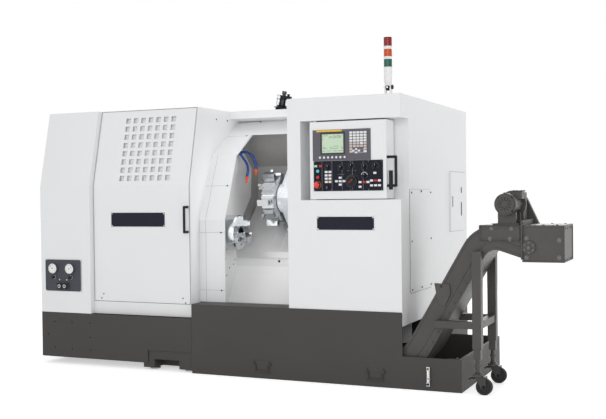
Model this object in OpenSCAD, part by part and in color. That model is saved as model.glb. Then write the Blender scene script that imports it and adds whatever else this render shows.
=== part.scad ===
// CNC turning lathe: a slant-bed machine in a sheet-metal enclosure, with a chip conveyor at its right.
// X runs to the right along the spindle, Y runs from the operator to the back, Z is up.
// The modules count X from the right side plane, Y from the front plane and Z from the floor;
// placed() then moves them so that the origin is at the middle of the footprint, on the floor.

/* [Enclosure] */
// Height of the roof
roof_z = 1860; // [1800:10:1960]
// Depth of the enclosure
body_d = 1641; // [1560:1:1720]
// Depth of the seam between the front covers and the rear cabinet
seam_y = 1000; // [995:5:1020]
// Width of the left end cover
left_w = 445; // [420:5:520]
// Width of the headstock bay
bay_w = 818; // [800:2:860]
// Width of the fixed post beside the opening
post_w = 199; // [180:1:210]
// Width of the work opening
open_w = 572; // [560:2:600]
// Width of the right cover
right_w = 783; // [770:1:800]
// Height at which the left front leans back
bend_z = 1310; // [1290:5:1330]
// How far the roof edge lies behind the front plane
lean = 127; // [100:1:140]
// Recess of the headstock door behind the left cover
recess = 44; // [30:1:50]
// Thickness of the cover sheets
sheet = 3; // [2:0.5:4]
// Gap round a door
door_gap = 3; // [2:0.5:4]
// Height of the lower edge of the side sheets
side_z = 391; // [380:1:400]

/* [Headstock door] */
// Height of the lower edge of the headstock bay's fixed strip
strip_z = 380; // [376:1:384]
// Height of the fixed strip below the door
strip_h = 90; // [80:1:100]
// Depth of the folded edge of a door
fold = 25; // [20:1:30]
// Columns of vent holes
vent_cols = 7; // [5:1:8]
// Rows of vent holes
vent_rows = 8; // [6:1:8]
// Side of one vent hole
vent = 37; // [28:1:40]
// Distance between vent columns
vent_dx = 64; // [60:1:70]
// Distance between vent rows
vent_dz = 60; // [56:1:62]
// Height of the lowest vent row
vent_z = 1361; // [1355:1:1370]
// Distance of the first vent column from the left edge of the door
vent_x = 238; // [200:1:250]

/* [Sliding door line] */
// Distance of the door plane behind the front plane
door_y = 170; // [165:1:180]
// Height at which the door first leans back
door_z1 = 1060; // [1040:1:1080]
// Depth at the second bend of the door
door_y2 = 360; // [350:1:370]
// Height of the second bend of the door
door_z2 = 1520; // [1510:1:1530]
// Depth at which the upper facet meets the roof lip
facet_y = 810; // [800:1:820]
// Height of the underside of the roof lip
lip_z = 1804; // [1795:1:1810]
// Depth of the front of the roof lip
lip_y = 655; // [645:1:665]
// Height at which the roof lip's underside meets the upper facet
under_z = 1790; // [1780:1:1795]
// Height at which the door ends and the fixed header starts
header_z = 1677; // [1670:1:1690]
// Width of the door window
window_w = 420; // [360:5:460]

/* [Tank and skirt] */
// Height of the coolant tank's front plate
tank_h = 480; // [470:1:490]
// Length of the low end of the tank, right of the machine
low_w = 379; // [360:1:400]
// Height of the low end of the tank
low_h = 205; // [195:1:215]
// Depth of the tank
tank_d = 1060; // [1040:5:1080]
// Plate thickness of the tank
plate = 4; // [3:0.5:5]
// Distance of the tank's left end from the bay's right end
tank_in = 27; // [20:1:35]
// Height of the skirt's lower edge
skirt_z = 50; // [40:1:60]
// Length of the cut-out for the bed foot
notch_w = 362; // [340:1:380]
// Height of the top of the cut-out for the bed foot
notch_z = 141; // [130:1:150]
// Width of a drop handle
bail_w = 103; // [95:1:110]
// Drop of a drop handle below its pivots
bail_h = 52; // [46:1:56]
// Radius of a drop handle's rod
bail_r = 4; // [3:0.5:5]

/* [Spindle and chuck] */
// Depth of the spindle axis
spin_y = 330; // [325:1:335]
// Height of the spindle axis
spin_z = 965; // [960:1:970]
// Radius of the bar passage
bar_r = 38; // [30:1:44]
// Radius of the chuck
chuck_r = 125; // [110:1:127]
// Thickness of the chuck body
chuck_w = 113; // [100:1:120]
// Height of the jaws above the chuck face
jaw_h = 60; // [50:1:64]
// Radius that the jaws are bored to
grip_r = 50; // [46:1:54]
// Width of a jaw
jaw_w = 46; // [40:1:50]
// Distance of the chamber wall left of the post's inner edge
wall_in = 95; // [90:1:100]

/* [Slant bed] */
// Travel of the carriage to the left of its place
travel_left = 20; // [10:5:20]
// Travel of the carriage to the right of its place
travel_right = 420; // [380:5:420]
// Distance of the bed surface from the spindle axis
bed_n = 330; // [328:1:334]
// Height of the guide rails
rail_h = 30; // [26:1:32]
// Width of the guide rails
rail_w = 45; // [40:1:50]
// Length of the saddle
saddle_w = 340; // [320:5:350]
// Length of one way cover segment
cover_w = 262; // [258:1:266]
// Radius of the turret disc
disc_r = 160; // [150:1:162]
// Thickness of the turret disc
disc_w = 90; // [80:1:94]
// Distance of the turret axis from the spindle axis along the slant
turret_s = 339; // [335:1:343]
// Number of tool stations
stations = 10; // [8:1:12]

/* [Conveyor] */
// Reach of the conveyor head beyond the right side
reach = 991; // [970:1:1010]
// Front face of the conveyor's side plate
conv_y = 30; // [28:1:32]
// Width of the conveyor
conv_w = 340; // [320:5:350]
// Height of the conveyor's cross section
conv_t = 150; // [140:2:160]
// Height of the centre of the flat run
conv_z0 = 100; // [98:1:104]
// Height of the centre of the upper bend
conv_z1 = 955; // [940:1:970]
// Inner bend radius at the foot, on the centre line
bend_r1 = 380; // [360:5:400]
// Bend radius at the head, on the centre line
bend_r2 = 150; // [140:1:160]
// Angle of the incline
incline = 60; // [58:1:62]
// Position of the foot bend, left of the right side plane
foot_x = 213; // [200:1:220]
// Side of the legs' outer square tube
leg = 55; // [50:1:60]
// Radius of a caster wheel
wheel_r = 50; // [45:1:52]
// Width of a caster wheel
wheel_w = 30; // [26:1:32]

/* [Operator panel] */
// Width of the operator pod
pod_w = 526; // [520:1:540]
// Height of the operator pod
pod_h = 502; // [496:1:504]
// Depth of the operator pod
pod_d = 150; // [140:1:151]
// Distance of the pod's left side from the right side plane
pod_x = 622; // [620:1:630]
// Height of the pod's lower face
pod_z = 1198; // [1198:1:1200]
// Width of the notch that holds the pod
notch_x = 688; // [685:1:692]
// Height of the notch's lower face
notch_lo = 1193; // [1190:1:1194]
// Height of the notch's upper face
notch_hi = 1709; // [1707:1:1712]
// Depth of the notch
notch_d = 168; // [167:1:172]
// Width of the display unit
disp_w = 400; // [390:1:410]
// Height of the display unit
disp_h = 200; // [195:1:200]
// Radius of a rotary knob
knob_r = 13; // [11:0.5:14]
// Radius of the handwheel
hand_r = 36; // [32:1:38]

/* [Hidden] */
$fn = 64;

// Clearance of a shaft or a seam, clearance of sliding pieces, and how far a cut runs past its face
run = 0.05;
free = 0.3;
over = 1;

// Stations along X, all left of the right side plane
x_cover = -right_w;
x_post = x_cover - open_w;
x_bay = x_post - post_w;
x_end = x_bay - bay_w;
x_left = x_end - left_w;
x_wall = x_post - wall_in;
x_tank = x_bay + tank_in;
x_right = -60;

// Footprint and origin
switch_out = 30;
ref_x = -(x_left + reach) / 2;
conv_edge = 4;
front_y = conv_y - conv_edge - leg;
ref_y = -(front_y + body_d + switch_out) / 2;

// Front line of the left half, and the line of post, header and sliding door, as [y, z] points
strip_top = strip_z + strip_h;
function lean_y(z) = max(0, z - bend_z) * lean / (roof_z - bend_z);
function front_line(z0, z1) = [[0, z0], [0, bend_z], [lean_y(z1), z1]];
facet_slope = (lip_z - door_z2) / (facet_y - door_y2);
function facet(z) = [door_y2 + (z - door_z2) / facet_slope, z];
function facet_z(y) = door_z2 + (y - door_y2) * facet_slope;
function door_line(z0, z1) = [[door_y, z0], [door_y, door_z1], [door_y2, door_z2], facet(z1)];

// Sheets that follow a line: the line shifted by d to its right-hand side
function unit(v) = v / norm(v);
function side(a, b) = let (u = unit(b - a)) [u[1], -u[0]];
function shifted(p, d) = [
    for (i = [0 : len(p) - 1])
        let (
            n1 = i < len(p) - 1 ? side(p[i], p[i + 1]) : side(p[i - 1], p[i]),
            n0 = i > 0 ? side(p[i - 1], p[i]) : n1,
            m = unit(n0 + n1)
        )
        p[i] + m * d / (m * n1)
];
function flipped(p) = [for (i = [len(p) - 1 : -1 : 0]) p[i]];
module band(p, d0, d1) polygon(concat(shifted(p, d0), flipped(shifted(p, d1))));
// Flat plates along a line, each with its own mitred ends and a seam of twice the shaft clearance between
function toward(a, b) = a + unit(b - a) * run;
module plates(x0, x1, p, d) let (q = shifted(p, d)) for (i = [0 : len(p) - 2])
    along_x(x0, x1) polygon([
        toward(p[i], p[i + 1]), toward(p[i + 1], p[i]), toward(q[i + 1], q[i]), toward(q[i], q[i + 1])
    ]);
function move_y(p, d) = [for (q = p) [q[0] + d, q[1]]];

// Placing helpers
module placed() translate([ref_x, ref_y, 0]) children();
module along_x(x0, x1) translate([x0, 0, 0]) rotate([90, 0, 90]) linear_extrude(x1 - x0) children();
module along_y(y0, y1) translate([0, y1, 0]) rotate([90, 0, 0]) linear_extrude(y1 - y0) children();
module box(lo, hi) translate(lo) cube(hi - lo);
module rod_x(x0, x1, r, y = 0, z = 0) translate([x0, y, z]) rotate([0, 90, 0]) cylinder(r = r, h = x1 - x0);
module rod_y(y0, y1, r, x = 0, z = 0) translate([x, y1, z]) rotate([90, 0, 0]) cylinder(r = r, h = y1 - y0);
module rod_z(z0, z1, r, x = 0, y = 0) translate([x, y, z0]) cylinder(r = r, h = z1 - z0);

// Slant frame: x along the machine, y up the slant from the spindle axis, z away from the bed
module slant() translate([0, spin_y, spin_z]) rotate([45, 0, 0]) children();

// Base

bed_lo = 400;
bed_x0 = x_bay - 700;
bed_s0 = 60;
bed_s1 = 560;
rail_s = [120, 480];
function slant_yz(s, n) = [spin_y + (s + n) * sqrt(0.5), spin_z + (s - n) * sqrt(0.5)];
bed_back = 990;
pad_h = 18;
// The feet below the bed: ends along X, then depths
foot = [x_bay - 376, x_tank - 3, door_y + sheet + 7, bed_back];
rear_foot = [-500, -80, tank_d + 40, tank_d + 240];
left_leg = 110;
pads = [
    [x_bay - 330, 90], [x_bay - 40, 90], [x_bay - 330, 900], [x_bay - 40, 900],
    [bed_x0 + left_leg / 2, 700], [rear_foot[0] + 80, tank_d + 140], [rear_foot[1] - 80, tank_d + 140]
];

module bed_profile() polygon([
    [slant_yz(bed_s0, bed_n)[0], bed_lo], slant_yz(bed_s0, bed_n), slant_yz(bed_s1, bed_n),
    [bed_back, slant_yz(bed_s1, bed_n)[1]], [bed_back, bed_lo]
]);

module bed_casting() color("dimgray") placed() {
    difference() {
        along_x(bed_x0, x_right - 20) bed_profile();
        along_x(bed_x0 - over, x_right) square_at(640, bed_lo - over, bed_back - 60, bed_lo + 240);
    }
    slant() for (s = rail_s)
        box([x_wall + 5, s - rail_w / 2, -bed_n - 4], [x_right - 30, s + rail_w / 2, rail_h - bed_n]);
    difference() {
        union() {
            box([foot[0], 8, pad_h], [foot[1], foot[2] + over, strip_z - 12]);
            box([foot[0], foot[2], pad_h], [foot[1], foot[3], bed_lo - run]);
        }
        box([foot[0] + 90, 8 - over, pad_h - over], [foot[1] - 107, 120, pad_h + 60]);
        box([foot[0] + 36, foot[2] + 20, pad_h - over], [foot[1] - 37, foot[3] - 170, bed_lo - 60]);
    }
    box([bed_x0, 625, pad_h], [bed_x0 + left_leg, bed_back, bed_lo - run]);
    box([rear_foot[0], bed_back + run, side_z - 51], [rear_foot[1], rear_foot[3], side_z - 1]);
    box([rear_foot[0], bed_back + run, side_z - 2], [rear_foot[1], seam_y - 2, bed_lo + 40]);
    box([rear_foot[0], rear_foot[2], pad_h], [rear_foot[1], rear_foot[3], side_z - 50]);
}

module levelling_feet() color("gray") placed()
    for (p = pads) {
        rod_z(0, 8, 38, p[0], p[1]);
        rod_z(8, pad_h, 14, p[0], p[1]);
    }

module base_skirt() color([0.25, 0.24, 0.24]) placed() difference() {
    union() {
        along_y(0, sheet) polygon([
            [x_left, skirt_z], [x_bay + tank_in - notch_w, skirt_z], [x_bay + tank_in - notch_w, notch_z],
            [x_tank - 3, notch_z], [x_tank - 3, strip_z], [x_left, strip_z]
        ]);
        box([x_left, 0, skirt_z], [x_left + sheet, body_d, strip_z]);
        box([x_left, body_d - sheet, skirt_z], [0, body_d, strip_z]);
        box([-sheet, tank_d + 5, skirt_z], [0, body_d, strip_z]);
    }
}

corner_r = 14;
sill_y = door_y + sheet + 2;
module coolant_tank() color([0.28, 0.28, 0.28]) placed() {
    along_y(-plate, 0) {
        difference() {
            square_at(x_tank, 0, 0, tank_h);
            square_at(-corner_r, tank_h - corner_r, over, tank_h + over);
        }
        translate([-corner_r, tank_h - corner_r]) circle(r = corner_r);
    }
    box([run, -plate, 0], [low_w, 0, low_h]);
    box([x_tank, run, 0], [low_w, tank_d, plate]);
    for (x = [x_tank, low_w - plate]) box([x, run, plate + run], [x + plate, tank_d, low_h]);
    box([x_tank + plate + run, tank_d - plate, plate + run], [low_w - plate - run, tank_d, low_h]);
    box([low_w - 20, run, low_h - plate], [low_w - plate - run, tank_d - plate - run, low_h]);
    box([low_w - 90, run, low_h - plate], [low_w - 20 - run, 20, low_h]);
    rod_z(low_h + run, low_h + 9, 9, low_w - 30, 10);
    box([x_tank, run, tank_h - plate], [-corner_r, sill_y - run, tank_h]);
    plates(x_tank, x_right, [[sill_y, tank_h], [sill_y, tank_h - 40], [45, low_h + 20]], -plate);
    for (x = bail_xs) bail_ears(x);
    sight_glass_fittings();
}
module square_at(x0, y0, x1, y1) translate([x0, y0]) square([x1 - x0, y1 - y0]);

bail_xs = [-984, -181];
bail_y = -plate - 8;
bail_z = 98;
ear = 7;
module bail_ears(x) for (k = [-1, 1]) difference() {
    translate([x + k * (bail_w / 2 + ear), 0, 0])
        box([1 - ear, bail_y - ear, bail_z - ear], [ear - 1, -plate - run, bail_z + ear]);
    rod_x(x - bail_w, x + bail_w, bail_r + run, bail_y, bail_z);
}
bail_bend = 12;
module bail(x) {
    rod_x(x - bail_w / 2 - 11, x - bail_w / 2 + bail_r, bail_r, bail_y, bail_z);
    rod_x(x + bail_w / 2 - bail_r, x + bail_w / 2 + 11, bail_r, bail_y, bail_z);
    for (k = [-1, 1]) translate([x + k * (bail_w / 2 - bail_r), bail_y, 0]) {
        rod_z(bail_z - bail_h + bail_bend, bail_z, bail_r);
        translate([0, 0, bail_z]) sphere(r = bail_r);
        translate([-k * bail_bend, 0, bail_z - bail_h + bail_bend]) rotate([90, 0, 0])
            rotate([0, 0, k > 0 ? -90 : 180]) rotate_extrude(angle = 90)
                translate([bail_bend, 0]) circle(r = bail_r);
    }
    translate([x, 0, 0]) rod_x(
        bail_r + bail_bend - bail_w / 2, bail_w / 2 - bail_r - bail_bend, bail_r, bail_y, bail_z - bail_h
    );
}
module drop_handle_1() color("dimgray") placed() bail(bail_xs[0]);
module drop_handle_2() color("dimgray") placed() bail(bail_xs[1]);

sight_x = 171;
module sight_glass_fittings() {
    for (z = [44, 140]) rod_y(-plate - 14, -plate - run, 9, sight_x, z);
    rod_z(44, 140, 8, sight_x, -plate - 14);
}

// Left covers

bar_hole = 60;
module left_end_cover() color("whitesmoke") placed() difference() {
    union() {
        along_x(x_left, x_end) band(front_line(strip_z, roof_z), 0, sheet);
        box([x_left, lean + over, roof_z - sheet], [x_end, seam_y, roof_z]);
        along_x(x_left, x_left + sheet)
            polygon([[0, strip_z], [0, bend_z], [lean, roof_z], [seam_y, roof_z], [seam_y, strip_z]]);
        along_x(x_end - sheet, x_end) polygon(concat(
            front_line(strip_z, roof_z), flipped(move_y(front_line(strip_z, roof_z), recess + 13))
        ));
    }
    rod_x(x_left - over, x_left + sheet + over, bar_hole, spin_y, spin_z);
}

gauge_x = [x_left + 122, x_left + 273];
module gauge_panel() color("lightgray") placed() {
    box([x_left + 38, -sheet, 535], [x_left + 365, 0, 773]);
    for (x = gauge_x) {
        rod_y(-24, -sheet, 35, x, 705);
        rod_y(-27, -24, 31, x, 705);
        rod_y(-16, -sheet, 12, x, 640);
    }
    box([x_left + 157, -22, 553], [x_left + 252, -sheet, 600]);
}

// Headstock bay: hinge line near the left edge of the door
hinge_gap = 6;
door_x0 = x_end + hinge_gap;
door_x1 = x_bay - sheet - door_gap - 3.5;
hinge_x = door_x0 + 10;
hinge_y = recess + 8;
hinge_zs = [560, 1270];
pin_r = 4;
jamb_y = hinge_y + fold;

module headstock_cabinet() color("whitesmoke") placed() {
    box([x_end, lean + recess, roof_z - sheet], [x_bay, seam_y, roof_z]);
    along_x(x_bay - sheet, x_bay) polygon(concat(
        move_y(front_line(strip_z, roof_z - over), recess),
        flipped(concat(shifted(door_line(strip_z, lip_z - 2), sheet), [[facet_y, roof_z - over]]))
    ));
    box([x_end, recess, strip_z], [x_bay, recess + sheet, strip_top]);
    box([x_end, recess, strip_z], [x_end + 20, jamb_y + 20, strip_z + sheet]);
    along_x(x_end, x_end + 20) polygon([
        [jamb_y, strip_z], [jamb_y, bend_z], [jamb_y + lean, roof_z - over],
        [jamb_y + lean + 20, roof_z - over], [jamb_y + 20, bend_z], [jamb_y + 20, strip_z]
    ]);
    for (z = hinge_zs) {
        box([hinge_x - pin_r - 0.6, hinge_y, z], [hinge_x + 12, jamb_y + over, z + 8]);
        rod_z(z, z + 8, pin_r + 0.6, hinge_x, hinge_y);
        rod_z(z - 12, z + over, pin_r, hinge_x, hinge_y);
    }
}

module headstock_door() color("whitesmoke") placed() {
    difference() {
        union() {
            along_x(door_x0, door_x1) door_shape(0, sheet);
            along_x(door_x0, door_x0 + sheet) door_shape(0, fold);
            along_x(door_x1 - sheet, door_x1) door_shape(0, fold);
            intersection() {
                along_x(door_x0, door_x1) door_shape(0, fold);
                union() {
                    box([door_x0, 0, door_lo], [door_x1, seam_y, door_lo + sheet]);
                    box([door_x0, 0, door_hi - sheet], [door_x1, seam_y, door_hi]);
                }
            }
            for (z = hinge_zs)
                box([door_x0 + sheet, recess + sheet - over, z - 13], [hinge_x + 12, hinge_y + 8, z - free]);
        }
        for (z = hinge_zs) {
            rod_z(z - 13 - over, z + over, pin_r + run, hinge_x, hinge_y);
            box([door_x0 - over, recess + sheet, z - free], [door_x0 + sheet + over, jamb_y + over, z + 9]);
        }
        for (i = [0 : vent_cols - 1], j = [0 : vent_rows - 1])
            translate([door_x0 + vent_x + i * vent_dx, 0, vent_z + j * vent_dz])
                box([-vent / 2, 0, -vent / 2], [vent / 2, lean + recess + fold, vent / 2]);
    }
    vent_baffle();
}
door_lo = strip_top + door_gap;
door_hi = roof_z - sheet - door_gap;
module door_shape(d0, d1) let (p = front_line(door_lo, door_hi))
    polygon(concat(move_y(p, recess + d0), flipped(move_y(p, recess + d1))));
// A tray behind the vent holes keeps chips and hands out
baffle_d = 20;
module vent_baffle() {
    x0 = door_x0 + vent_x - vent_dx;
    x1 = door_x0 + vent_x + vent_cols * vent_dx;
    z0 = vent_z - vent;
    z1 = min(vent_z + vent_rows * vent_dz, door_hi - sheet);
    along_x(x0, x1) baffle_shape(z0, z1, baffle_d - sheet, baffle_d);
    for (x = [x0, x1 - sheet]) along_x(x, x + sheet) baffle_shape(z0, z1, sheet - over, baffle_d);
}
module baffle_shape(z0, z1, d0, d1) polygon([
    [recess + lean_y(z0) + d0, z0], [recess + lean_y(z1) + d0, z1],
    [recess + lean_y(z1) + d1, z1], [recess + lean_y(z0) + d1, z0]
]);

// A D handle on a vertical face: bar length h, standing out by d
module d_handle(x, y, z, h, d, r) {
    for (k = [0, 1]) rod_y(y - d + r, y, r, x, z + k * h);
    rod_z(z, z + h, r, x, y - d + r);
    for (k = [0, 1]) translate([x, y - d + r, z + k * h]) sphere(r = r);
}
module headstock_door_handle() color("black") placed()
    d_handle(x_bay - 21, recess, 978, 174, 58, 9);

// Opening surround

post_fold = 14;
module door_post() color("whitesmoke") placed() {
    along_x(x_bay, x_post) band(door_line(tank_h, under_z - 2), 0, sheet);
    along_x(x_post - sheet, x_post) band(door_line(tank_h, under_z - 2), 0, post_fold);
}

module middle_roof() color("whitesmoke") placed() {
    along_x(x_bay, x_cover) band(
        [facet(under_z) + [8, 0], [lip_y, lip_z], [lip_y, roof_z], [seam_y, roof_z]], 0, sheet
    );
    along_x(x_post, x_cover) band([facet(header_z), facet(under_z + 2)], 0, sheet);
}

handle_z = 850;
handle_h = 190;
door_w = open_w + 68;
slide_x0 = x_cover + 8 - 3;
module sliding_door() color("whitesmoke") placed() difference() {
    union() {
        along_x(slide_x0, slide_x0 + door_w) band(door_line(tank_h + free, header_z - 4), 0, sheet);
        for (x = [slide_x0, slide_x0 + door_w - sheet])
            along_x(x, x + sheet) band(door_line(tank_h + free, header_z - 4), 0, fold - 5);
        d_handle(slide_x0 + 26, door_y + over, handle_z, handle_h, 46, 9);
    }
    window_place(0) rounded(window_w, window_h, 30, [-over, sheet + over]);
}
// The window lies in the door's middle facet
window_h = 330;
window_mid = (door_z2 - door_z1) / 2 + door_z1;
facet2_tilt = atan((door_y2 - door_y) / (door_z2 - door_z1));
module window_place(d) translate([slide_x0 + door_w / 2, (door_y + door_y2) / 2, window_mid])
    rotate([-facet2_tilt, 0, 0]) translate([0, d, 0]) children();
module rounded(w, h, r, y) {
    box([-w / 2 + r, y[0], -h / 2], [w / 2 - r, y[1], h / 2]);
    box([-w / 2, y[0], -h / 2 + r], [w / 2, y[1], h / 2 - r]);
    for (i = [-1, 1], j = [-1, 1]) rod_y(y[0], y[1], r, i * (w / 2 - r), j * (h / 2 - r));
}
module door_window() color([0.7, 0.8, 0.85, 0.5]) placed()
    window_place(0) rounded(window_w + 40, window_h + 40, 40, [sheet + run, sheet + 8]);

// Right cover with the notch for the operator pod

pin_rz = 12;
pod_axis = [30, 25];
pivot_x = -pod_x + pod_axis[0];
pod_y = 5;
pivot_y = pod_y + pod_axis[1];
access = [176, 646, 585, 1255];
module right_cover() color("whitesmoke") placed() {
    difference() {
        box([x_cover, 0, tank_h], [0, sheet, roof_z]);
        pod_notch();
    }
    box([x_cover, sheet + run, roof_z - sheet], [0, seam_y, roof_z]);
    difference() {
        along_x(-sheet, 0) polygon([
            [sheet + run, side_top], [seam_y, side_top], [seam_y, side_z], [over, side_z],
            [over, tank_h - run], [sheet + run, tank_h - run]
        ]);
        pod_notch();
        box([-sheet - over, access[0] + 12, access[2] + 12], [over, access[1] - 12, access[3] - 12]);
    }
    difference() {
        along_x(x_cover, x_cover + sheet) polygon(concat(
            [[sheet + run, tank_h], [sheet + run, side_top], [lip_y, side_top], [lip_y, lip_z - over]],
            flipped(shifted(door_line(tank_h, lip_z - 30), -2 * door_gap))
        ));
        box(
            [x_cover - over, door_y - 80, handle_z - 40],
            [x_cover + sheet + over, door_y + over, handle_z + handle_h + 15]
        );
    }
    difference() {
        box(
            [-notch_x - sheet, sheet + run, notch_lo - sheet],
            [-sheet - run, notch_d + sheet, notch_hi + sheet]
        );
        pod_notch();
    }
    rod_z(notch_hi - 24, notch_hi + over, pin_rz, pivot_x, pivot_y);
    rod_z(notch_lo - over, notch_lo + 20, pin_rz, pivot_x, pivot_y);
    tower_base();
}
side_top = roof_z - sheet - run;
module pod_notch() box([-notch_x, -over, notch_lo], [over, notch_d, notch_hi]);

tower_x = -159;
tower_y = 240;
tower_pivot = 67;
module tower_base() translate([tower_x, tower_y, roof_z]) {
    box([-28, -28, 0], [28, 28, 6]);
    for (k = [-1, 1]) difference() {
        box([k * 18 - 5, -14, 0], [k * 18 + 5, 14, tower_pivot + 14]);
        rod_x(-40, 40, 6 + run, 0, tower_pivot);
    }
}
module signal_tower() color("red") placed() translate([tower_x, tower_y, roof_z]) {
    rod_x(-30, 30, 6, 0, tower_pivot);
    rod_x(24, 34, 14, 0, tower_pivot);
    box([-12, -11, tower_pivot - 12], [12, 11, tower_pivot + 22]);
    rod_z(tower_pivot + 20, tower_pivot + 34, 24);
    rod_z(tower_pivot + 34, 384, 28);
    rod_z(384, 394, 24);
}

module side_access_cover() color("whitesmoke") placed() {
    box([0, access[0], access[2]], [sheet, access[1], access[3]]);
    for (y = [access[0] + 18, access[1] - 18])
        for (z = [access[2] + 20, (access[2] + access[3]) / 2, access[3] - 20])
            rod_x(sheet, sheet + 5, 7, y, z);
    rod_x(sheet, sheet + 5, 7, (access[0] + access[1]) / 2, access[2] + 20);
}

// Rear cabinet with two doors

side_d = [seam_y + 125, body_d - 110, 944, 1388];
rear_d = [-1500, -640, 520, 1700];
module rear_cabinet() color("whitesmoke") placed() {
    difference() {
        box([x_left, seam_y, side_z], [0, body_d, roof_z]);
        box([x_left + sheet, seam_y + sheet, side_z + sheet], [-sheet, body_d - sheet, roof_z - sheet]);
        box([-sheet - over, side_d[0] + 10, side_d[2] + 10], [over, side_d[1] - 10, side_d[3] - 10]);
        along_y(body_d - sheet - over, body_d + over)
            square_at(rear_d[0] + 10, rear_d[2] + 10, rear_d[1] - 10, rear_d[3] - 10);
    }
    box([rear_d[0], seam_y + sheet, rear_d[2]], [rear_d[1], seam_y + 25, rear_d[3]]);
    for (i = [0 : 4], j = [0 : 2])
        box([rear_d[0] + 60 + i * 150, seam_y + 25, rear_d[2] + 120 + j * 340],
            [rear_d[0] + 180 + i * 150, seam_y + 150, rear_d[2] + 350 + j * 340]);
    translate([0, side_d[1] + 4, side_d[2]]) side_knuckles(false);
    translate([rear_d[0] - 4, body_d, rear_d[2]]) rear_knuckles(false);
}

knuckle_r = 7;
knuckle_h = 60;
module knuckle(fixed) {
    if (fixed) {
        rod_z(0, knuckle_h / 4, knuckle_r);
        rod_z(3 * knuckle_h / 4, knuckle_h, knuckle_r);
        rod_z(0, knuckle_h, 3);
    } else difference() {
        rod_z(knuckle_h / 4 + free, 3 * knuckle_h / 4 - free, knuckle_r);
        rod_z(0, knuckle_h, 3 + run);
    }
}
module side_knuckles(moving) for (z = [60, side_d[3] - side_d[2] - 60 - knuckle_h])
    translate([knuckle_r, knuckle_r, z]) {
        knuckle(!moving);
        if (!moving) for (k = [0, 1])
            box([-knuckle_r, -3, k * 3 * knuckle_h / 4], [0, 3, k * 3 * knuckle_h / 4 + knuckle_h / 4]);
        if (moving) box([-3, -knuckle_r - 6, knuckle_h / 4 + free], [3, -3 - 1, 3 * knuckle_h / 4 - free]);
    }
module rear_knuckles(moving) for (z = [120, rear_d[3] - rear_d[2] - 120 - knuckle_h])
    translate([-knuckle_r, knuckle_r, z]) {
        knuckle(!moving);
        if (!moving) for (k = [0, 1])
            box([-3, -knuckle_r, k * 3 * knuckle_h / 4], [3, 0, k * 3 * knuckle_h / 4 + knuckle_h / 4]);
        if (moving) box([3 + 1, -3, knuckle_h / 4 + free], [knuckle_r + 6, 3, 3 * knuckle_h / 4 - free]);
    }

module side_door() color("whitesmoke") placed() {
    difference() {
        box([free, side_d[0], side_d[2]], [free + 12, side_d[1], side_d[3]]);
        box([0, side_d[0] + 4, side_d[2] + 4], [free + 12 - sheet, side_d[1] - 4, side_d[3] - 4]);
    }
    translate([0, side_d[1] + 4, side_d[2]]) side_knuckles(true);
}
module rear_door() color("whitesmoke") placed() {
    difference() {
        box([rear_d[0], body_d + free, rear_d[2]], [rear_d[1], body_d + free + 14, rear_d[3]]);
        along_y(body_d, body_d + free + 14 - sheet)
            square_at(rear_d[0] + 4, rear_d[2] + 4, rear_d[1] - 4, rear_d[3] - 4);
        rod_y(body_d, body_d + 20, 8 + run, switch_x, switch_z);
    }
    translate([rear_d[0] - 4, body_d, rear_d[2]]) rear_knuckles(true);
}
switch_x = rear_d[1] - 120;
switch_z = 1500;
module main_switch() color("red") placed() {
    rod_y(body_d + free + 2, body_d + 16, 8, switch_x, switch_z);
    rod_y(body_d + 15, body_d + 22, 26, switch_x, switch_z);
    box([switch_x - 7, body_d + 20, switch_z - 24], [switch_x + 7, body_d + switch_out, switch_z + 24]);
}

// Working chamber

wall_back = [[615, 1599], [788, 1433], [773, 1221], [643, 1078], [535, 850], [529, 800]];
apron_line = [[529, 800], [529, 712], [501, 653], [392, 456], [375, 230]];
module chamber_wall() color("whitesmoke") placed() {
    difference() {
        along_x(x_wall - sheet, x_wall) polygon(concat(
            shifted(door_line(tank_h, header_z - 29), sheet + run), wall_back,
            [for (i = [1 : 3]) apron_line[i]],
            [[375, tank_h - 60], [sill_y + 10, tank_h - 60], [sill_y + 10, tank_h]]
        ));
        rod_x(x_wall - 10, x_wall + 10, 104, spin_y, spin_z);
    }
    difference() {
        plates(x_wall + run, x_right - run, apron_line, -sheet);
        rod_y(500, 560, 9, x_post + 252, 748);
    }
    along_x(x_right, x_right + sheet) polygon([
        [door_y + fold, tank_h], [door_y + fold + 5, door_z1], [door_y2 + 20, door_z2], [700, 1670],
        [900, 1450], [900, 1180], [560, 840], [532, 800], [532, 712], [504, 653], [395, 456], [395, tank_h]
    ]);
}

back_y = 743;
back_top = facet_z(back_y) - post_fold - 2 * sheet;
back_line = [[903, 1180], [903, 1450], [back_y, 1690], [back_y, back_top]];
module chamber_back() color("dimgray") placed() {
    plates(x_wall - sheet + run, x_right, back_line, -sheet);
    along_x(x_wall - 2 * sheet, x_wall - sheet) polygon([
        [600, 1120], [600, 1590], [700, 1690], [back_y, 1690], [903, 1450], [903, 1180], [860, 1130]
    ]);
}

cover_n = 247;
cover_t = 3;
cover_step = 4;
cover_s0 = 35;
cover_s1 = 551;
module way_plate(x0, x1, level) slant() translate([0, 0, -cover_n - level * cover_step])
    box([x0, cover_s0, -cover_t], [x1, cover_s1, 0]);
saddle_x0 = x_post + 245;
saddle_x1 = saddle_x0 + saddle_w;
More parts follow.
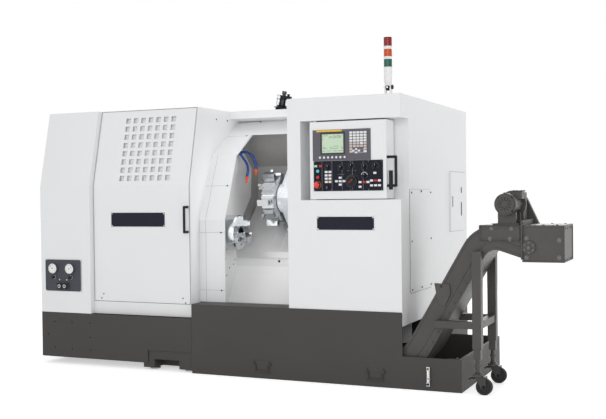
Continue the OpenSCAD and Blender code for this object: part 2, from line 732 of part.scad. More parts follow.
// Right of the saddle one segment rides on it, one follows at half its speed and one is fixed
lap = 10;
cover_right_w = x_right - 2 - saddle_x1 - travel_right;
fixed_right_x = saddle_x1 + travel_right + lap / 2;
mid_left_x = (x_wall + saddle_x0 - cover_w) / 2;
mid_right = [
    saddle_x1 + cover_right_w - travel_left / 2 - lap,
    fixed_right_x + travel_left / 2 + 1.5 * lap
];
lip_n = cover_n - free - run;
module way_cover_fixed() color("lightgray") placed() {
    way_plate(x_wall, x_wall + cover_w, 0);
    way_plate(fixed_right_x, x_right, 0);
    plates(x_wall, x_right, [
        [slant_yz(cover_s0 - 3.5, lip_n)[0], apron_line[0][1] - 30],
        slant_yz(cover_s0 - 3.5, lip_n), slant_yz(cover_s0 + 23, lip_n)
    ], -cover_t);
}
module way_cover_slide() color("lightgray") placed() {
    way_plate(mid_left_x, mid_left_x + cover_w, 1);
    way_plate(mid_right[0], mid_right[1], 1);
}

// Headstock, spindle and chuck

chuck_face = x_post + 48;
chuck_back = chuck_face - chuck_w;
head_x1 = x_wall - 30;
head_x0 = head_x1 - 670;
head_r = 148;
journal = [90, 70];
module headstock_casting() color("gray") placed() difference() {
    union() {
        rod_x(head_x0, head_x1, head_r, spin_y, spin_z);
        slant() along_x(head_x0 + 40, head_x1 - 40)
            polygon([[-120, -120], [bed_s0, -bed_n], [440, -bed_n], [300, -60], [120, 130]]);
    }
    rod_x(head_x1 - 160, head_x1 + over, journal[0] + run, spin_y, spin_z);
    rod_x(head_x0 + 150, head_x1 - 150, journal[1] + 12, spin_y, spin_z);
    rod_x(head_x0 - over, head_x0 + 160, journal[1] + run, spin_y, spin_z);
}
motor_w = 340;
module spindle_motor() color("dimgray") placed() difference() {
    union() {
        rod_x(head_x0 - motor_w, head_x0, 150, spin_y, spin_z);
        for (a = [0 : 15 : 345]) translate([0, spin_y, spin_z]) rotate([a, 0, 0])
            box([head_x0 - motor_w + 30, -4, 140], [head_x0 - 30, 4, 164]);
        rod_x(head_x0 - 24, head_x0, 172, spin_y, spin_z);
    }
    rod_x(head_x0 - motor_w - over, head_x0 + over, journal[1] + 2, spin_y, spin_z);
}
spindle_end = head_x0 - motor_w - 60;
module spindle() color("silver") placed() difference() {
    union() {
        rod_x(spindle_end, head_x1 - 150, journal[1], spin_y, spin_z);
        rod_x(head_x1 - 158, head_x1 + 6, journal[0], spin_y, spin_z);
        rod_x(head_x1 + 6, chuck_back, 100, spin_y, spin_z);
        rod_x(spindle_end, spindle_end + 40, 84, spin_y, spin_z);
    }
    rod_x(spindle_end - over, chuck_back + over, bar_r, spin_y, spin_z);
}

jaw_angles = [90, 210, 330];
guide_w = 20;
module chuck_body() color("silver") placed() translate([0, spin_y, spin_z]) difference() {
    union() {
        rod_x(chuck_back, chuck_face - 10, chuck_r);
        translate([chuck_face - 10, 0, 0]) rotate([0, 90, 0])
            cylinder(r1 = chuck_r, r2 = chuck_r - 6, h = 10);
    }
    rod_x(chuck_back - over, chuck_face + over, bar_r + 2);
    for (a = jaw_angles) rotate([a, 0, 0]) {
        box(
            [chuck_face - 24, bar_r - 10, -guide_w / 2 - free],
            [chuck_face + over, chuck_r + 5, guide_w / 2 + free]
        );
        box([chuck_face - 24, bar_r - 10, -guide_w / 2 - 6], [chuck_face - 12, chuck_r + 5, guide_w / 2 + 6]);
    }
    for (a = jaw_angles) rotate([a + 60, 0, 0]) rod_x(chuck_face - 30, chuck_face + over, 8, 86, 0);
}
jaw_lo = grip_r - 6;
jaw_hi = chuck_r - 8;
jaw_lift = 0.3;
module jaw(a) translate([0, spin_y, spin_z]) rotate([a, 0, 0]) difference() {
    union() {
        box([chuck_face - 23, jaw_lo + 8, -guide_w / 2], [chuck_face + 2, jaw_hi - 4, guide_w / 2]);
        box([chuck_face - 23, jaw_lo + 8, -guide_w / 2 - 5], [chuck_face - 13, jaw_hi - 4, guide_w / 2 + 5]);
        box([chuck_face + jaw_lift, jaw_lo, -jaw_w / 2], [chuck_face + jaw_h / 2, jaw_hi, jaw_w / 2]);
        box([chuck_face + jaw_h / 2 - over, jaw_lo, -jaw_w / 2],
            [chuck_face + jaw_h, jaw_hi - 32, jaw_w / 2]);
    }
    rod_x(chuck_face - 30, chuck_face + jaw_h + over, grip_r);
    for (y = [jaw_hi - 14, jaw_hi - 38]) rod_x(chuck_face + 12, chuck_face + jaw_h + over, 8, y, 0);
}
module chuck_jaw_1() color("silver") placed() jaw(jaw_angles[0]);
module chuck_jaw_2() color("silver") placed() jaw(jaw_angles[1]);
module chuck_jaw_3() color("silver") placed() jaw(jaw_angles[2]);

// Carriage, cross slide and turret

saddle_lo = rail_h - bed_n + 4;
saddle_hi = -cover_n - 2 * cover_step - cover_t - 4;
module carriage() color("gray") placed() {
    way_plate(saddle_x0 - cover_w, saddle_x0, 2);
    way_plate(saddle_x1, saddle_x1 + cover_right_w, 2);
    slant() difference() {
        union() {
            box([saddle_x0, bed_s0 + 5, saddle_lo], [saddle_x1, cover_s1, saddle_hi]);
            for (x = [saddle_x0, saddle_x1 - 90], s = rail_s)
                box([x, s - rail_w, -bed_n + 2], [x + 90, s + rail_w, saddle_lo + over]);
            for (x = [saddle_x0, saddle_x1 - 4])
                box([x, cover_s0, saddle_hi - 6], [x + 4, cover_s1, -cover_n - 2 * cover_step]);
        }
        for (s = rail_s) box(
            [saddle_x0 - over, s - rail_w / 2 - free, -bed_n - over],
            [saddle_x1 + over, s + rail_w / 2 + free, rail_h - bed_n + free]
        );
    }
}

tur_x = x_post + 265;
hub_r = 80;
slide_lo = saddle_hi + free;
module cross_slide() color("silver") placed() slant() difference() {
    union() {
        box([saddle_x0 + 10, turret_s - 99, slide_lo], [saddle_x1 - 20, turret_s + 141, slide_lo + 40]);
        along_x(tur_x + 14, tur_x + 230) polygon([
            [turret_s - 85, 88], [turret_s - 99, -200], [turret_s - 99, slide_lo + over],
            [turret_s + 141, slide_lo + over], [turret_s + 220, -160], [turret_s + 236, 108]
        ]);
        rod_x(tur_x + 4, tur_x + 30, hub_r + 25, turret_s, 0);
    }
    rod_x(tur_x, tur_x + 100, hub_r - 20 + run, turret_s, 0);
}

disc_x = tur_x - disc_w;
flat_r = disc_r / cos(180 / stations);
module turret_disc() color("silver") placed() slant() translate([0, turret_s, 0]) difference() {
    union() {
        translate([disc_x, 0, 0]) rotate([0, 90, 0]) cylinder(r = flat_r, h = disc_w, $fn = stations);
        rod_x(disc_x - 12, disc_x + over, 62);
        rod_x(tur_x - over, tur_x + 4 - free, hub_r);
        rod_x(tur_x - over, tur_x + 90, hub_r - 20);
    }
    for (i = [0 : stations - 1]) rotate([i * 360 / stations + 90, 0, 0]) {
        rod_x(disc_x - over, disc_x + 30, 12, disc_r - 34, 0);
        box([disc_x - over, disc_r - 14, -6], [tur_x + over, disc_r + 20, 6]);
    }
    rod_x(disc_x - 12 - over, disc_x - 6, 40);
}

swing_r = 212;
module tool_holders() color("silver") placed() slant() translate([0, turret_s, 0])
    for (i = [0 : stations - 1]) rotate([(i + 0.5) * 360 / stations + 90, 0, 0]) {
        if (i % 2 == 0) turning_tool(); else boring_holder();
    }
module turning_tool() {
    box([disc_x + 8, disc_r, -24], [tur_x - 12, disc_r + 24, 24]);
    box([disc_x - 14, disc_r + 4, -20], [disc_x + 9, disc_r + 26, 20]);
    box([disc_x - 14, disc_r + 26 - over, -10], [disc_x + 6, swing_r, 8]);
}
module boring_holder() {
    difference() {
        box([disc_x - 16, disc_r, -22], [tur_x - 20, disc_r + 44, 22]);
        rod_x(disc_x - 16 - over, tur_x, 12, disc_r + 22, 0);
    }
}

// Coolant hoses in the chamber: jointed tubes that hang from a block on the left wall
hose_block = [x_wall, 550, 1545];
hose_a = [
    [22, -9, -2], [40, -6, -20], [60, 5, -52], [76, 14, -82], [88, 10, -116], [98, -14, -146],
    [115, -66, -190]
];
hose_b = [
    [22, 24, 2], [48, 48, 8], [76, 64, -8], [105, 67, -40], [124, 58, -72], [137, 42, -100], [146, 20, -130]
];
module hose(p) {
    for (i = [0 : len(p) - 2]) segment(p[i], p[i + 1], 8, 6);
    segment(p[len(p) - 1], p[len(p) - 1] + unit([4, -8, -38]) * 42, 8, 3.5);
}
module segment(a, b, r0, r1) let (v = b - a, l = norm(v)) translate(a)
    rotate([0, acos(v[2] / l), atan2(v[1], v[0])]) {
        sphere(r = r0 + 1.5);
        cylinder(r1 = r0 + 1, r2 = r1, h = l);
    }
module coolant_hoses() color("royalblue") placed() translate(hose_block) {
    box([0, -24, -14], [24, 44, 14]);
    hose(hose_a);
    hose(hose_b);
}

unit_x = x_cover - 368;
unit_y = 730;
module air_service_unit() color("black") placed() translate([unit_x, unit_y, roof_z]) {
    box([-62, -34, 0], [62, 34, 6]);
    box([-56, -6, 6], [56, 6, 96]);
    for (x = [-36, 0, 36]) {
        box([x - 17, -22, 60], [x + 17, -5, 96]);
        rod_z(14, 61, 15, x, -20);
    }
    rod_z(95, 130, 17, 0, -16);
    rod_z(95, 112, 10, 36, -16);
}

// Chip conveyor

half_t = conv_t / 2;
end_a = -18;
conv_tail = x_wall + 90;
arc_n = 10;
straight = (conv_z1 - conv_z0 - (bend_r1 + bend_r2) * (1 - cos(incline))) / sin(incline);
head_cx = -foot_x + (bend_r1 + bend_r2) * sin(incline) + straight * cos(incline);
shaft_run = 162;
shaft_x = head_cx - bend_r2 * sin(end_a) + shaft_run * cos(end_a);
shaft_z = conv_z1 - bend_r2 + bend_r2 * cos(end_a) + shaft_run * sin(end_a);
function foot_arc(r, a) = [r * sin(a) - foot_x, conv_z0 + bend_r1 - r * cos(a)];
function head_arc(r, b) = [head_cx - r * sin(b), conv_z1 - bend_r2 + r * cos(b)];
function conv_line(d, xt) = concat(
    [[xt, conv_z0 + d]],
    [for (i = [0 : arc_n]) foot_arc(bend_r1 - d, incline * i / arc_n)],
    [for (i = [0 : arc_n]) head_arc(bend_r2 + d, incline + (end_a - incline) * i / arc_n)],
    [[shaft_x - d * sin(end_a), shaft_z + d * cos(end_a)]]
);
module conv_band(d0, d1, xt) polygon(concat(conv_line(d1, xt), flipped(conv_line(d0, xt))));
head_x = shaft_x - 41;
head_lo = 809;
head_top = conv_z1 + half_t + over;
head_left = head_cx - 102;
conv_y1 = conv_y + conv_w;
foot_i = 1;
slope_i = foot_i + arc_n;
bend_i = slope_i + 1;
top_i = bend_i + arc_n;
strip = 14;
flange = 5;
flange_out = 16;
module conveyor_casing() color([0.3, 0.29, 0.29]) placed() {
    difference() {
        union() {
            along_y(conv_y, conv_y1) {
                conv_band(-half_t, half_t, conv_tail);
                square_at(head_left, head_top - 99, head_x + over, head_top);
                square_at(head_x, head_lo, reach, head_top);
            }
            for (y = [conv_y - conv_edge, conv_y1]) along_y(y, y + conv_edge) stiffeners();
            along_y(conv_y - flange_out, conv_y1 + flange_out)
                square_at(head_x - flange, head_lo + 16, head_x + flange, head_top + 29);
            rod_y(conv_y - 12, conv_y, 40, shaft_x, shaft_z);
            along_y(conv_y - 12, conv_y)
                square_at(head_left + 8, head_top - 92, head_x - 12, head_top - 8);
            for (y = [conv_y + 20, conv_y1 - 40]) along_y(y, y + 20)
                square_at(conv_tail, plate, -foot_x - over, conv_z0 - half_t + over);
            along_y(conv_y - conv_edge - 6, conv_y) lug();
        }
        along_y(conv_y + plate, conv_y1 - plate) {
            conv_band(plate - half_t, half_t - plate, conv_tail + plate);
            square_at(conv_tail + plate, conv_z0, x_right - 60, conv_z0 + half_t + over);
            square_at(head_left + plate, head_top - 99 + plate, head_x + flange + over, head_top - plate);
            square_at(head_x + flange, head_lo + plate, reach - plate, head_top - plate);
            square_at(shaft_x + 70, head_lo - over, reach - plate, head_lo + 10);
        }
        along_y(conv_y - 40, conv_y1 + 40) casing_seams();
        rod_y(conv_y - 20, conv_y1 + 20, 12 + run, shaft_x, shaft_z);
        rod_y(conv_y - 20, conv_y, 8, lug_at[0], lug_at[1] + 42);
    }
    belt();
}
module stiffeners() intersection() {
    union() {
        conv_band(half_t - strip, half_t, conv_tail);
        conv_band(-half_t, strip - half_t, conv_tail);
        conv_band(-24, -14, conv_tail);
    }
    square_at(-foot_x + 60, 0, head_x - over, roof_z);
}
// The casing is made in five lengths, which meet at the bends and at the flange
module casing_seams() {
    translate([-foot_x, conv_z0]) square([2 * run, 2 * conv_t], center = true);
    translate(foot_arc(bend_r1, incline)) rotate(incline) square([2 * run, 2 * conv_t], center = true);
    translate(head_arc(bend_r2, incline)) rotate(incline) square([2 * run, 2 * conv_t], center = true);
    square_at(head_x, head_lo - over, head_x + 2 * run, roof_z);
}
// The hinged belt: plates one after another along both runs and round both ends
belt_d = 56;
belt_t = 4;
belt_pitch = 150;
belt_x0 = conv_tail + 90;
turn_n = 4;
turn_step = 180 / turn_n;
module belt_plate(c, a, l) translate([c[0], 0, c[1]]) rotate([0, -a, 0])
    along_y(conv_y + plate + free, conv_y1 - plate - free)
        square_at(free - l / 2, -belt_t / 2, l / 2 - free, belt_t / 2);
module belt_row(p, q) {
    n = ceil(norm(q - p) / belt_pitch);
    a = atan2(q[1] - p[1], q[0] - p[0]);
    for (i = [0 : n - 1]) belt_plate(p + (q - p) * (i + 0.5) / n, a, norm(q - p) / n);
}
module belt_arc(p, i0, i1) for (i = [i0 : 2 : i1 - 2]) belt_row(p[i], p[i + 2]);
module belt_turn(c, a0) for (i = [0 : turn_n - 1]) let (a = a0 + turn_step * (i + 0.5))
    belt_plate(c + belt_d * [cos(a), sin(a)], a - 90, (2 * belt_d - belt_t) * tan(turn_step / 2));
module belt() {
    for (d = [-belt_d, belt_d]) {
        p = conv_line(d, belt_x0);
        belt_row(p[0], p[foot_i]);
        belt_arc(p, foot_i, slope_i);
        belt_row(p[slope_i], p[bend_i]);
        belt_arc(p, bend_i, top_i);
        belt_row(p[top_i], p[top_i + 1]);
    }
    belt_turn([shaft_x, shaft_z], end_a - 90);
    belt_turn([belt_x0, conv_z0], 90);
}
lug_at = [250, 610];
module lug() polygon([
    [lug_at[0] - 46, lug_at[1] + 60], [lug_at[0] + 50, lug_at[1] + 56], [lug_at[0] + 56, lug_at[1] - 4],
    [lug_at[0] + 20, lug_at[1] - 82], [lug_at[0] - 16, lug_at[1] - 78], [lug_at[0] - 36, lug_at[1]]
]);

module conveyor_shaft() color("silver") placed() translate([shaft_x, 0, shaft_z]) {
    rod_y(conv_y - 18, conv_y1 + 14, 12);
    for (y = [conv_y + 40, conv_y1 - 50]) along_y(y, y + 10) difference() {
        circle(r = 53);
        for (i = [0 : 9]) rotate(i * 36) translate([53, 0]) circle(r = 9);
    }
}

gear_x = 655;
gear_z = 1158;
gear_r = 62;
module conveyor_gearmotor() color([0.33, 0.32, 0.32]) placed() {
    box([gear_x - 90, conv_y + 20, head_top], [gear_x + 70, conv_y1 - 20, head_top + 10]);
    for (y = [60, 190]) box([gear_x - 60, y, head_top + 9], [gear_x + 50, y + 30, gear_z - gear_r + 14]);
    rod_y(-14, 36, gear_r + 3, gear_x, gear_z);
    difference() {
        rod_y(-24, -12, gear_r - 6, gear_x, gear_z);
        for (i = [0 : 11]) translate([gear_x, 0, gear_z]) rotate([0, i * 30, 0]) {
            box([22, -30, -3.5], [44, -18, 3.5]);
        }
    }
    rod_y(30, 216, gear_r - 4, gear_x, gear_z);
    for (i = [0 : 2 : 22]) translate([gear_x, 0, gear_z]) rotate([0, i * 15, 0])
        box([50, 44, -2.5], [gear_r + 2, 206, 2.5]);
    box([gear_x + 20, 90, gear_z + 30], [gear_x + 80, 170, gear_z + 78]);
    rod_y(210, 232, gear_r + 20, gear_x, gear_z);
    box([gear_x - 62, 230, head_top + 9], [gear_x + 62, 340, gear_z + 70]);
    rod_y(340, guard_y, 16, gear_x, gear_z);
}
guard_y = conv_y1 + flange_out;
function arc_pts(c, r, a0, a1) = [
    for (i = [0 : 12])
        let (a = a0 + (a1 - a0) * i / 12)
        c + r * [cos(a), sin(a)]
];
guard_dir = atan2(shaft_z - gear_z, shaft_x - gear_x);
module chain_guard() color([0.3, 0.29, 0.29]) placed() difference() {
    along_y(guard_y, guard_y + 38) polygon(concat(
        arc_pts([gear_x, gear_z], 62, guard_dir + 90, guard_dir + 270),
        arc_pts([shaft_x, shaft_z], 52, guard_dir - 90, guard_dir + 90)
    ));
    rod_y(guard_y - over, guard_y + 20, 12 + 2, shaft_x, shaft_z);
}

// Support frame and casters

leg_x = 480;
leg_ys = [conv_y - conv_edge - leg / 2, conv_y1 + conv_edge + leg / 2];
tube_lo = 277;
stem_r = 10;
fork_top = 138;
module support_frame() color([0.3, 0.29, 0.29]) placed() {
    for (y = leg_ys) {
        box([leg_x - leg / 2, y - leg / 2, tube_lo], [leg_x + leg / 2, y + leg / 2, 873]);
        translate([leg_x, y, 0])
            box([6 - leg / 2, 6 - leg / 2, 215], [leg / 2 - 6, leg / 2 - 6, tube_lo + over]);
        rod_z(fork_top + free, 216, 14, leg_x, y);
        translate([leg_x, y, 170]) cylinder(r = 20, h = 18, $fn = 6);
        rod_z(fork_top - 24, fork_top + over, stem_r, leg_x, y);
        box([215, y - 22, 398], [leg_x, y + 22, 442]);
    }
    for (y = [conv_y - conv_edge - 8, conv_y1 + conv_edge + 4])
        box([215, y, 398], [300, y + 4, 442]);
    box([leg_x - 22, leg_ys[0], 398], [leg_x + 22, leg_ys[1], 442]);
}

trail = 38;
fork_half = wheel_w / 2 + 8;
module fork(y) translate([leg_x, y, 0]) {
    difference() {
        union() {
            rod_z(wheel_r * 2 + 12, fork_top, 20);
            box([-26, -fork_half, wheel_r * 2 + 6], [trail + 14, fork_half, wheel_r * 2 + 12]);
        }
        rod_z(fork_top - 28, fork_top + over, stem_r + run);
    }
    for (k = [-1, 1]) along_y(k * (fork_half - 2.5) - 2.5, k * (fork_half - 2.5) + 2.5) polygon([
        [-16, wheel_r * 2 + 8], [trail - 14, wheel_r - 12],
        [trail + 14, wheel_r - 12], [trail + 14, wheel_r * 2 + 8]
    ]);
    rod_y(-fork_half, fork_half, 6, trail, wheel_r);
    box([-44, -8, wheel_r * 2 + 2], [-20, 8, wheel_r * 2 + 8]);
}
module wheel(y) translate([leg_x + trail, y, wheel_r]) difference() {
    union() {
        rod_y(-wheel_w / 2, wheel_w / 2, wheel_r);
        rod_y(-wheel_w / 2 - 2, wheel_w / 2 + 2, 16);
    }
    rod_y(-wheel_w, wheel_w, 6 + run);
    for (k = [-1, 1]) translate([0, k * wheel_w / 2, 0]) rotate([90, 0, 0]) difference() {
        cylinder(r = 36, h = 8, center = true);
        cylinder(r = 16, h = 9, center = true);
    }
}
module caster_fork_1() color("dimgray") placed() fork(leg_ys[0]);
module caster_fork_2() color("dimgray") placed() fork(leg_ys[1]);
module caster_wheel_1() color("black") placed() wheel(leg_ys[0]);
module caster_wheel_2() color("black") placed() wheel(leg_ys[1]);

// Operator pod

pod_x1 = pod_w - pod_x;
module operator_pod() color("whitesmoke") placed() difference() {
    box([-pod_x, pod_y, pod_z], [pod_x1, pod_y + pod_d, pod_z + pod_h]);
    difference() {
        box(
            [-pod_x + sheet, pod_y + sheet, pod_z + sheet],
            [pod_x1 - sheet, pod_y + pod_d - sheet, pod_z + pod_h - sheet]
        );
        rod_z(pod_z, pod_z + pod_h, pin_rz + 8, pivot_x, pivot_y);
    }
    rod_z(pod_z - over, pod_z + 24, pin_rz + run, pivot_x, pivot_y);
    rod_z(pod_z + pod_h - 24, pod_z + pod_h + over, pin_rz + run, pivot_x, pivot_y);
}

// The display unit's lower left corner and the keys that stand on its face
disp_x = -600;
disp_z = 1447;
face = pod_y - 4;
module key_at(x, z, w, h) box([x - w / 2, face - 3, z - h / 2], [x + w / 2, face + over, z + h / 2]);
module display_unit() color("gray") placed() {
    difference() {
        box([disp_x, face, disp_z], [disp_x + disp_w, pod_y, disp_z + disp_h]);
        box([disp_x + 62, face - over, disp_z + 52], [disp_x + 214, face + 2, disp_z + 168]);
    }
    for (i = [0 : 6]) key_at(disp_x + 52 + i * 28, disp_z + 26, 14, 12);
    for (i = [0 : 4], j = [0 : 6]) key_at(disp_x + 268 + i * 24, disp_z + 166 - j * 18, 19, 14);
}

panel = [-595, -119, 1250, 1445];
knobs = [[-494, 1405], [-405, 1399], [-333, 1410], [-244, 1403], [-244, 1347], [-169, 1407]];
stop_at = [-567, 1291];
wheel_at = [-328, 1312];
buttons = [
    [-580, 1413], [-546, 1413],
    [-506, 1374], [-480, 1374], [-506, 1352], [-480, 1352],
    [-506, 1331], [-480, 1331], [-506, 1310], [-480, 1310],
    [-409, 1335], [-435, 1313], [-409, 1313], [-383, 1313], [-409, 1291],
    [-273, 1305], [-245, 1305], [-219, 1305], [-273, 1275], [-172, 1362],
    [-195, 1314], [-168, 1314], [-142, 1314], [-195, 1283], [-168, 1283], [-142, 1283]
];
module machine_panel() color([0.1, 0.1, 0.14]) placed() difference() {
    union() {
        box([panel[0], face, panel[2]], [panel[1], pod_y, panel[3]]);
        for (b = buttons) key_at(b[0], b[1], 19, 13);
        for (z = [1380, 1340]) rod_y(face - 5, face + over, 11, -563, z);
        rod_y(face - 6, face + over, 21, stop_at[0], stop_at[1]);
        rod_y(face - 5, face + over, 9, -498, 1274);
        rod_y(face - 3, face + over, hand_r + 5, wheel_at[0], wheel_at[1]);
    }
    rod_y(face - 8, pod_y + over, 8 + run, stop_at[0], stop_at[1]);
    rod_y(face - 8, pod_y + over, 5 + run, wheel_at[0], wheel_at[1]);
    for (k = knobs) rod_y(face - over, pod_y + over, 3 + run, k[0], k[1]);
}
module emergency_stop() color("red") placed() {
    rod_y(face - 14, pod_y - 6, 8, stop_at[0], stop_at[1]);
    rod_y(face - 22, face - 12, 17, stop_at[0], stop_at[1]);
}
module handwheel() color("black") placed() {
    rod_y(face - 6, pod_y - free, 5, wheel_at[0], wheel_at[1]);
    rod_y(face - 17, face - 3 - free, hand_r, wheel_at[0], wheel_at[1]);
    rod_y(face - 30, face - 16, 6, wheel_at[0] + hand_r * 0.5, wheel_at[1] + hand_r * 0.4);
}
module rotary(i) {
    rod_y(face - 6, pod_y - free, 3, knobs[i][0], knobs[i][1]);
    rod_y(face - 6, face - free, knob_r, knobs[i][0], knobs[i][1]);
    translate([knobs[i][0], 0, knobs[i][1]]) box([-4, face - 15, -knob_r], [4, face - 5, knob_r]);
}
module rotary_knob_1() color("black") placed() rotary(0);
module rotary_knob_2() color("black") placed() rotary(1);
module rotary_knob_3() color("black") placed() rotary(2);
module rotary_knob_4() color("black") placed() rotary(3);
module rotary_knob_5() color("black") placed() rotary(4);
module rotary_knob_6() color("black") placed() rotary(5);

module pod_handle() color("black") placed() {
    translate([pod_x1, 20, 0]) {
        for (z = [1280, 1462]) rod_x(0, 58, 9, 0, z);
        rod_z(1280, 1462, 9, 58, 0);
        for (z = [1280, 1462]) translate([58, 0, z]) sphere(r = 9);
        rod_z(1254, 1376, 13, 24, 0);
    }
}

bed_casting();
levelling_feet();
base_skirt();
coolant_tank();
left_end_cover();
gauge_panel();
headstock_cabinet();
door_post();
middle_roof();
right_cover();
side_access_cover();
rear_cabinet();
chamber_wall();
chamber_back();
way_cover_fixed();
headstock_casting();
spindle_motor();
air_service_unit();
conveyor_casing();
conveyor_gearmotor();
chain_guard();
support_frame();
coolant_hoses();
headstock_door();
headstock_door_handle();
spindle();
chuck_body();
chuck_jaw_1();
chuck_jaw_2();
chuck_jaw_3();
way_cover_slide();
carriage();
cross_slide();
turret_disc();
tool_holders();
sliding_door();
door_window();
operator_pod();
display_unit();
machine_panel();
pod_handle();
emergency_stop();
handwheel();
rotary_knob_1();
rotary_knob_2();
rotary_knob_3();
rotary_knob_4();
rotary_knob_5();
rotary_knob_6();
signal_tower();
caster_fork_1();
caster_fork_2();
caster_wheel_1();
caster_wheel_2();
drop_handle_1();
drop_handle_2();
side_door();
rear_door();
main_switch();
conveyor_shaft();
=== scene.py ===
import math

import bpy
from mathutils import Matrix, Vector


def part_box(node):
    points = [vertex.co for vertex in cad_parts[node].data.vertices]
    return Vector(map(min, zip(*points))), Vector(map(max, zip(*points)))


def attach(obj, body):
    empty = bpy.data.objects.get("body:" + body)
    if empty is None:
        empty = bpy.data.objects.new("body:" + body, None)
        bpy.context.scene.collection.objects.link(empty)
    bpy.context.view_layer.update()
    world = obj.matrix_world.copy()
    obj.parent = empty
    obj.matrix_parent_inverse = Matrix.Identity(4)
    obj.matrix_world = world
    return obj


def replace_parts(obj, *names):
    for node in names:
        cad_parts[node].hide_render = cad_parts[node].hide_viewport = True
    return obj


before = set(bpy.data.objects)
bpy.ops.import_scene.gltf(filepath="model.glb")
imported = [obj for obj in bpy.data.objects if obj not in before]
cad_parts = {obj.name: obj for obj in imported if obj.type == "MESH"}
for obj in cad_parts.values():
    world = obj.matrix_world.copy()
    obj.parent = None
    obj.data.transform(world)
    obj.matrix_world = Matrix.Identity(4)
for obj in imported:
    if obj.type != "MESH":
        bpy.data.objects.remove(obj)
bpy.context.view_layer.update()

# Places are written in millimetres from the machine's right side plane (X), its front plane (Y) and
# the floor (Z), and P() turns them into the frame's metres.
ORIGIN_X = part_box("right_cover")[1].x
ORIGIN_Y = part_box("right_cover")[0].y


def P(x, y, z):
    return Vector((ORIGIN_X + x / 1000, ORIGIN_Y + y / 1000, z / 1000))


# Directions, and the normals of the two sloped facets of the front line
FRONT, BACK = (0, -1, 0), (0, 1, 0)
RIGHT, LEFT = (1, 0, 0), (-1, 0, 0)
UP = (0, 0, 1)
FACET_2 = (0, -0.9243, 0.3818)
FACET_3 = (0, -0.5337, 0.8457)


# Shader nodes

def new_material(name):
    """A material with a Principled shader on its output."""
    material = bpy.data.materials.new(name)
    material.use_nodes = True
    tree = material.node_tree
    tree.nodes.clear()
    out = tree.nodes.new("ShaderNodeOutputMaterial")
    shader = tree.nodes.new("ShaderNodeBsdfPrincipled")
    tree.links.new(shader.outputs[0], out.inputs[0])
    return material, tree, shader


def coords(tree, scale=(1, 1, 1), location=(0, 0, 0)):
    source = tree.nodes.new("ShaderNodeTexCoord")
    mapping = tree.nodes.new("ShaderNodeMapping")
    mapping.inputs["Scale"].default_value = scale
    mapping.inputs["Location"].default_value = location
    tree.links.new(source.outputs["Object"], mapping.inputs[0])
    return mapping.outputs[0]


def noise(tree, vector, scale, detail, roughness):
    node = tree.nodes.new("ShaderNodeTexNoise")
    node.inputs["Scale"].default_value = scale
    node.inputs["Detail"].default_value = detail
    node.inputs["Roughness"].default_value = roughness
    tree.links.new(vector, node.inputs["Vector"])
    return node.outputs["Fac"]


def colour_drift(tree, factor, dark, light, ends=(0.3, 0.7)):
    """A colour that drifts from dark to light as factor goes from one end to the other."""
    node = tree.nodes.new("ShaderNodeValToRGB")
    stops = node.color_ramp.elements
    for i, colour in enumerate((dark, light)):
        stops[i].position = ends[i]
        stops[i].color = (*colour, 1)
    tree.links.new(factor, node.inputs[0])
    return node.outputs[0]


def map_range(tree, factor, low, high):
    node = tree.nodes.new("ShaderNodeMapRange")
    node.inputs["To Min"].default_value = low
    node.inputs["To Max"].default_value = high
    tree.links.new(factor, node.inputs[0])
    return node.outputs[0]


def maths(tree, operation, first, second, third=None, clamp=False):
    """A maths node; each value is a socket or a number."""
    node = tree.nodes.new("ShaderNodeMath")
    node.operation = operation
    node.use_clamp = clamp
    for i, value in enumerate((first, second, third)):
        if isinstance(value, (int, float)):
            node.inputs[i].default_value = value
        elif value is not None:
            tree.links.new(value, node.inputs[i])
    return node.outputs[0]


def bump(tree, height, distance, strength, edge):
    """A bump from height, over edges rounded by a radius of edge metres."""
    node = tree.nodes.new("ShaderNodeBump")
    node.inputs["Distance"].default_value = distance
    node.inputs["Strength"].default_value = strength
    tree.links.new(height, node.inputs["Height"])
    if edge:
        bevel = tree.nodes.new("ShaderNodeBevel")
        bevel.samples = 4
        bevel.inputs["Radius"].default_value = edge
        tree.links.new(bevel.outputs[0], node.inputs["Normal"])
    return node.outputs[0]


def linear(srgb):
    return tuple(x / 12.92 if x <= 0.04045 else ((x + 0.055) / 1.055) ** 2.4 for x in srgb)


def shade(colour, k):
    return tuple(min(1.0, x * k) for x in colour)


# Kinds of material

def grainy(name, srgb, rough, spread, patch, grain, depth, edge=0.0,
           metallic=0.0, rough_spread=0.08, coat=0.0, specular=0.5):
    """Paint, plastic or casting skin: broad colour drift, patchy gloss and a fine surface grain."""
    colour = linear(srgb)
    material, tree, shader = new_material(name)
    place = coords(tree)
    broad = noise(tree, place, patch, 4.0, 0.6)
    base = colour_drift(tree, broad, shade(colour, 1 - spread), shade(colour, 1 + spread))
    gloss = noise(tree, place, patch * 9, 5.0, 0.6)
    roughness = map_range(tree, gloss, rough - rough_spread, rough + rough_spread)
    fine = noise(tree, place, grain, 2.0, 0.5)
    tree.links.new(base, shader.inputs["Base Color"])
    tree.links.new(roughness, shader.inputs["Roughness"])
    tree.links.new(bump(tree, fine, depth, 0.6, edge), shader.inputs["Normal"])
    shader.inputs["Metallic"].default_value = metallic
    shader.inputs["Specular IOR Level"].default_value = specular
    if coat:
        shader.inputs["Coat Weight"].default_value = coat
        shader.inputs["Coat Roughness"].default_value = 0.15
    return material


def metal_finish(tree, shader, colour, factor, rough, spread, gloss=0.08):
    """Colour and roughness of bare metal, both from one factor."""
    base = colour_drift(tree, factor, shade(colour, 1 - spread), shade(colour, 1 + spread))
    tree.links.new(base, shader.inputs["Base Color"])
    tree.links.new(map_range(tree, factor, rough - gloss, rough + 0.1), shader.inputs["Roughness"])


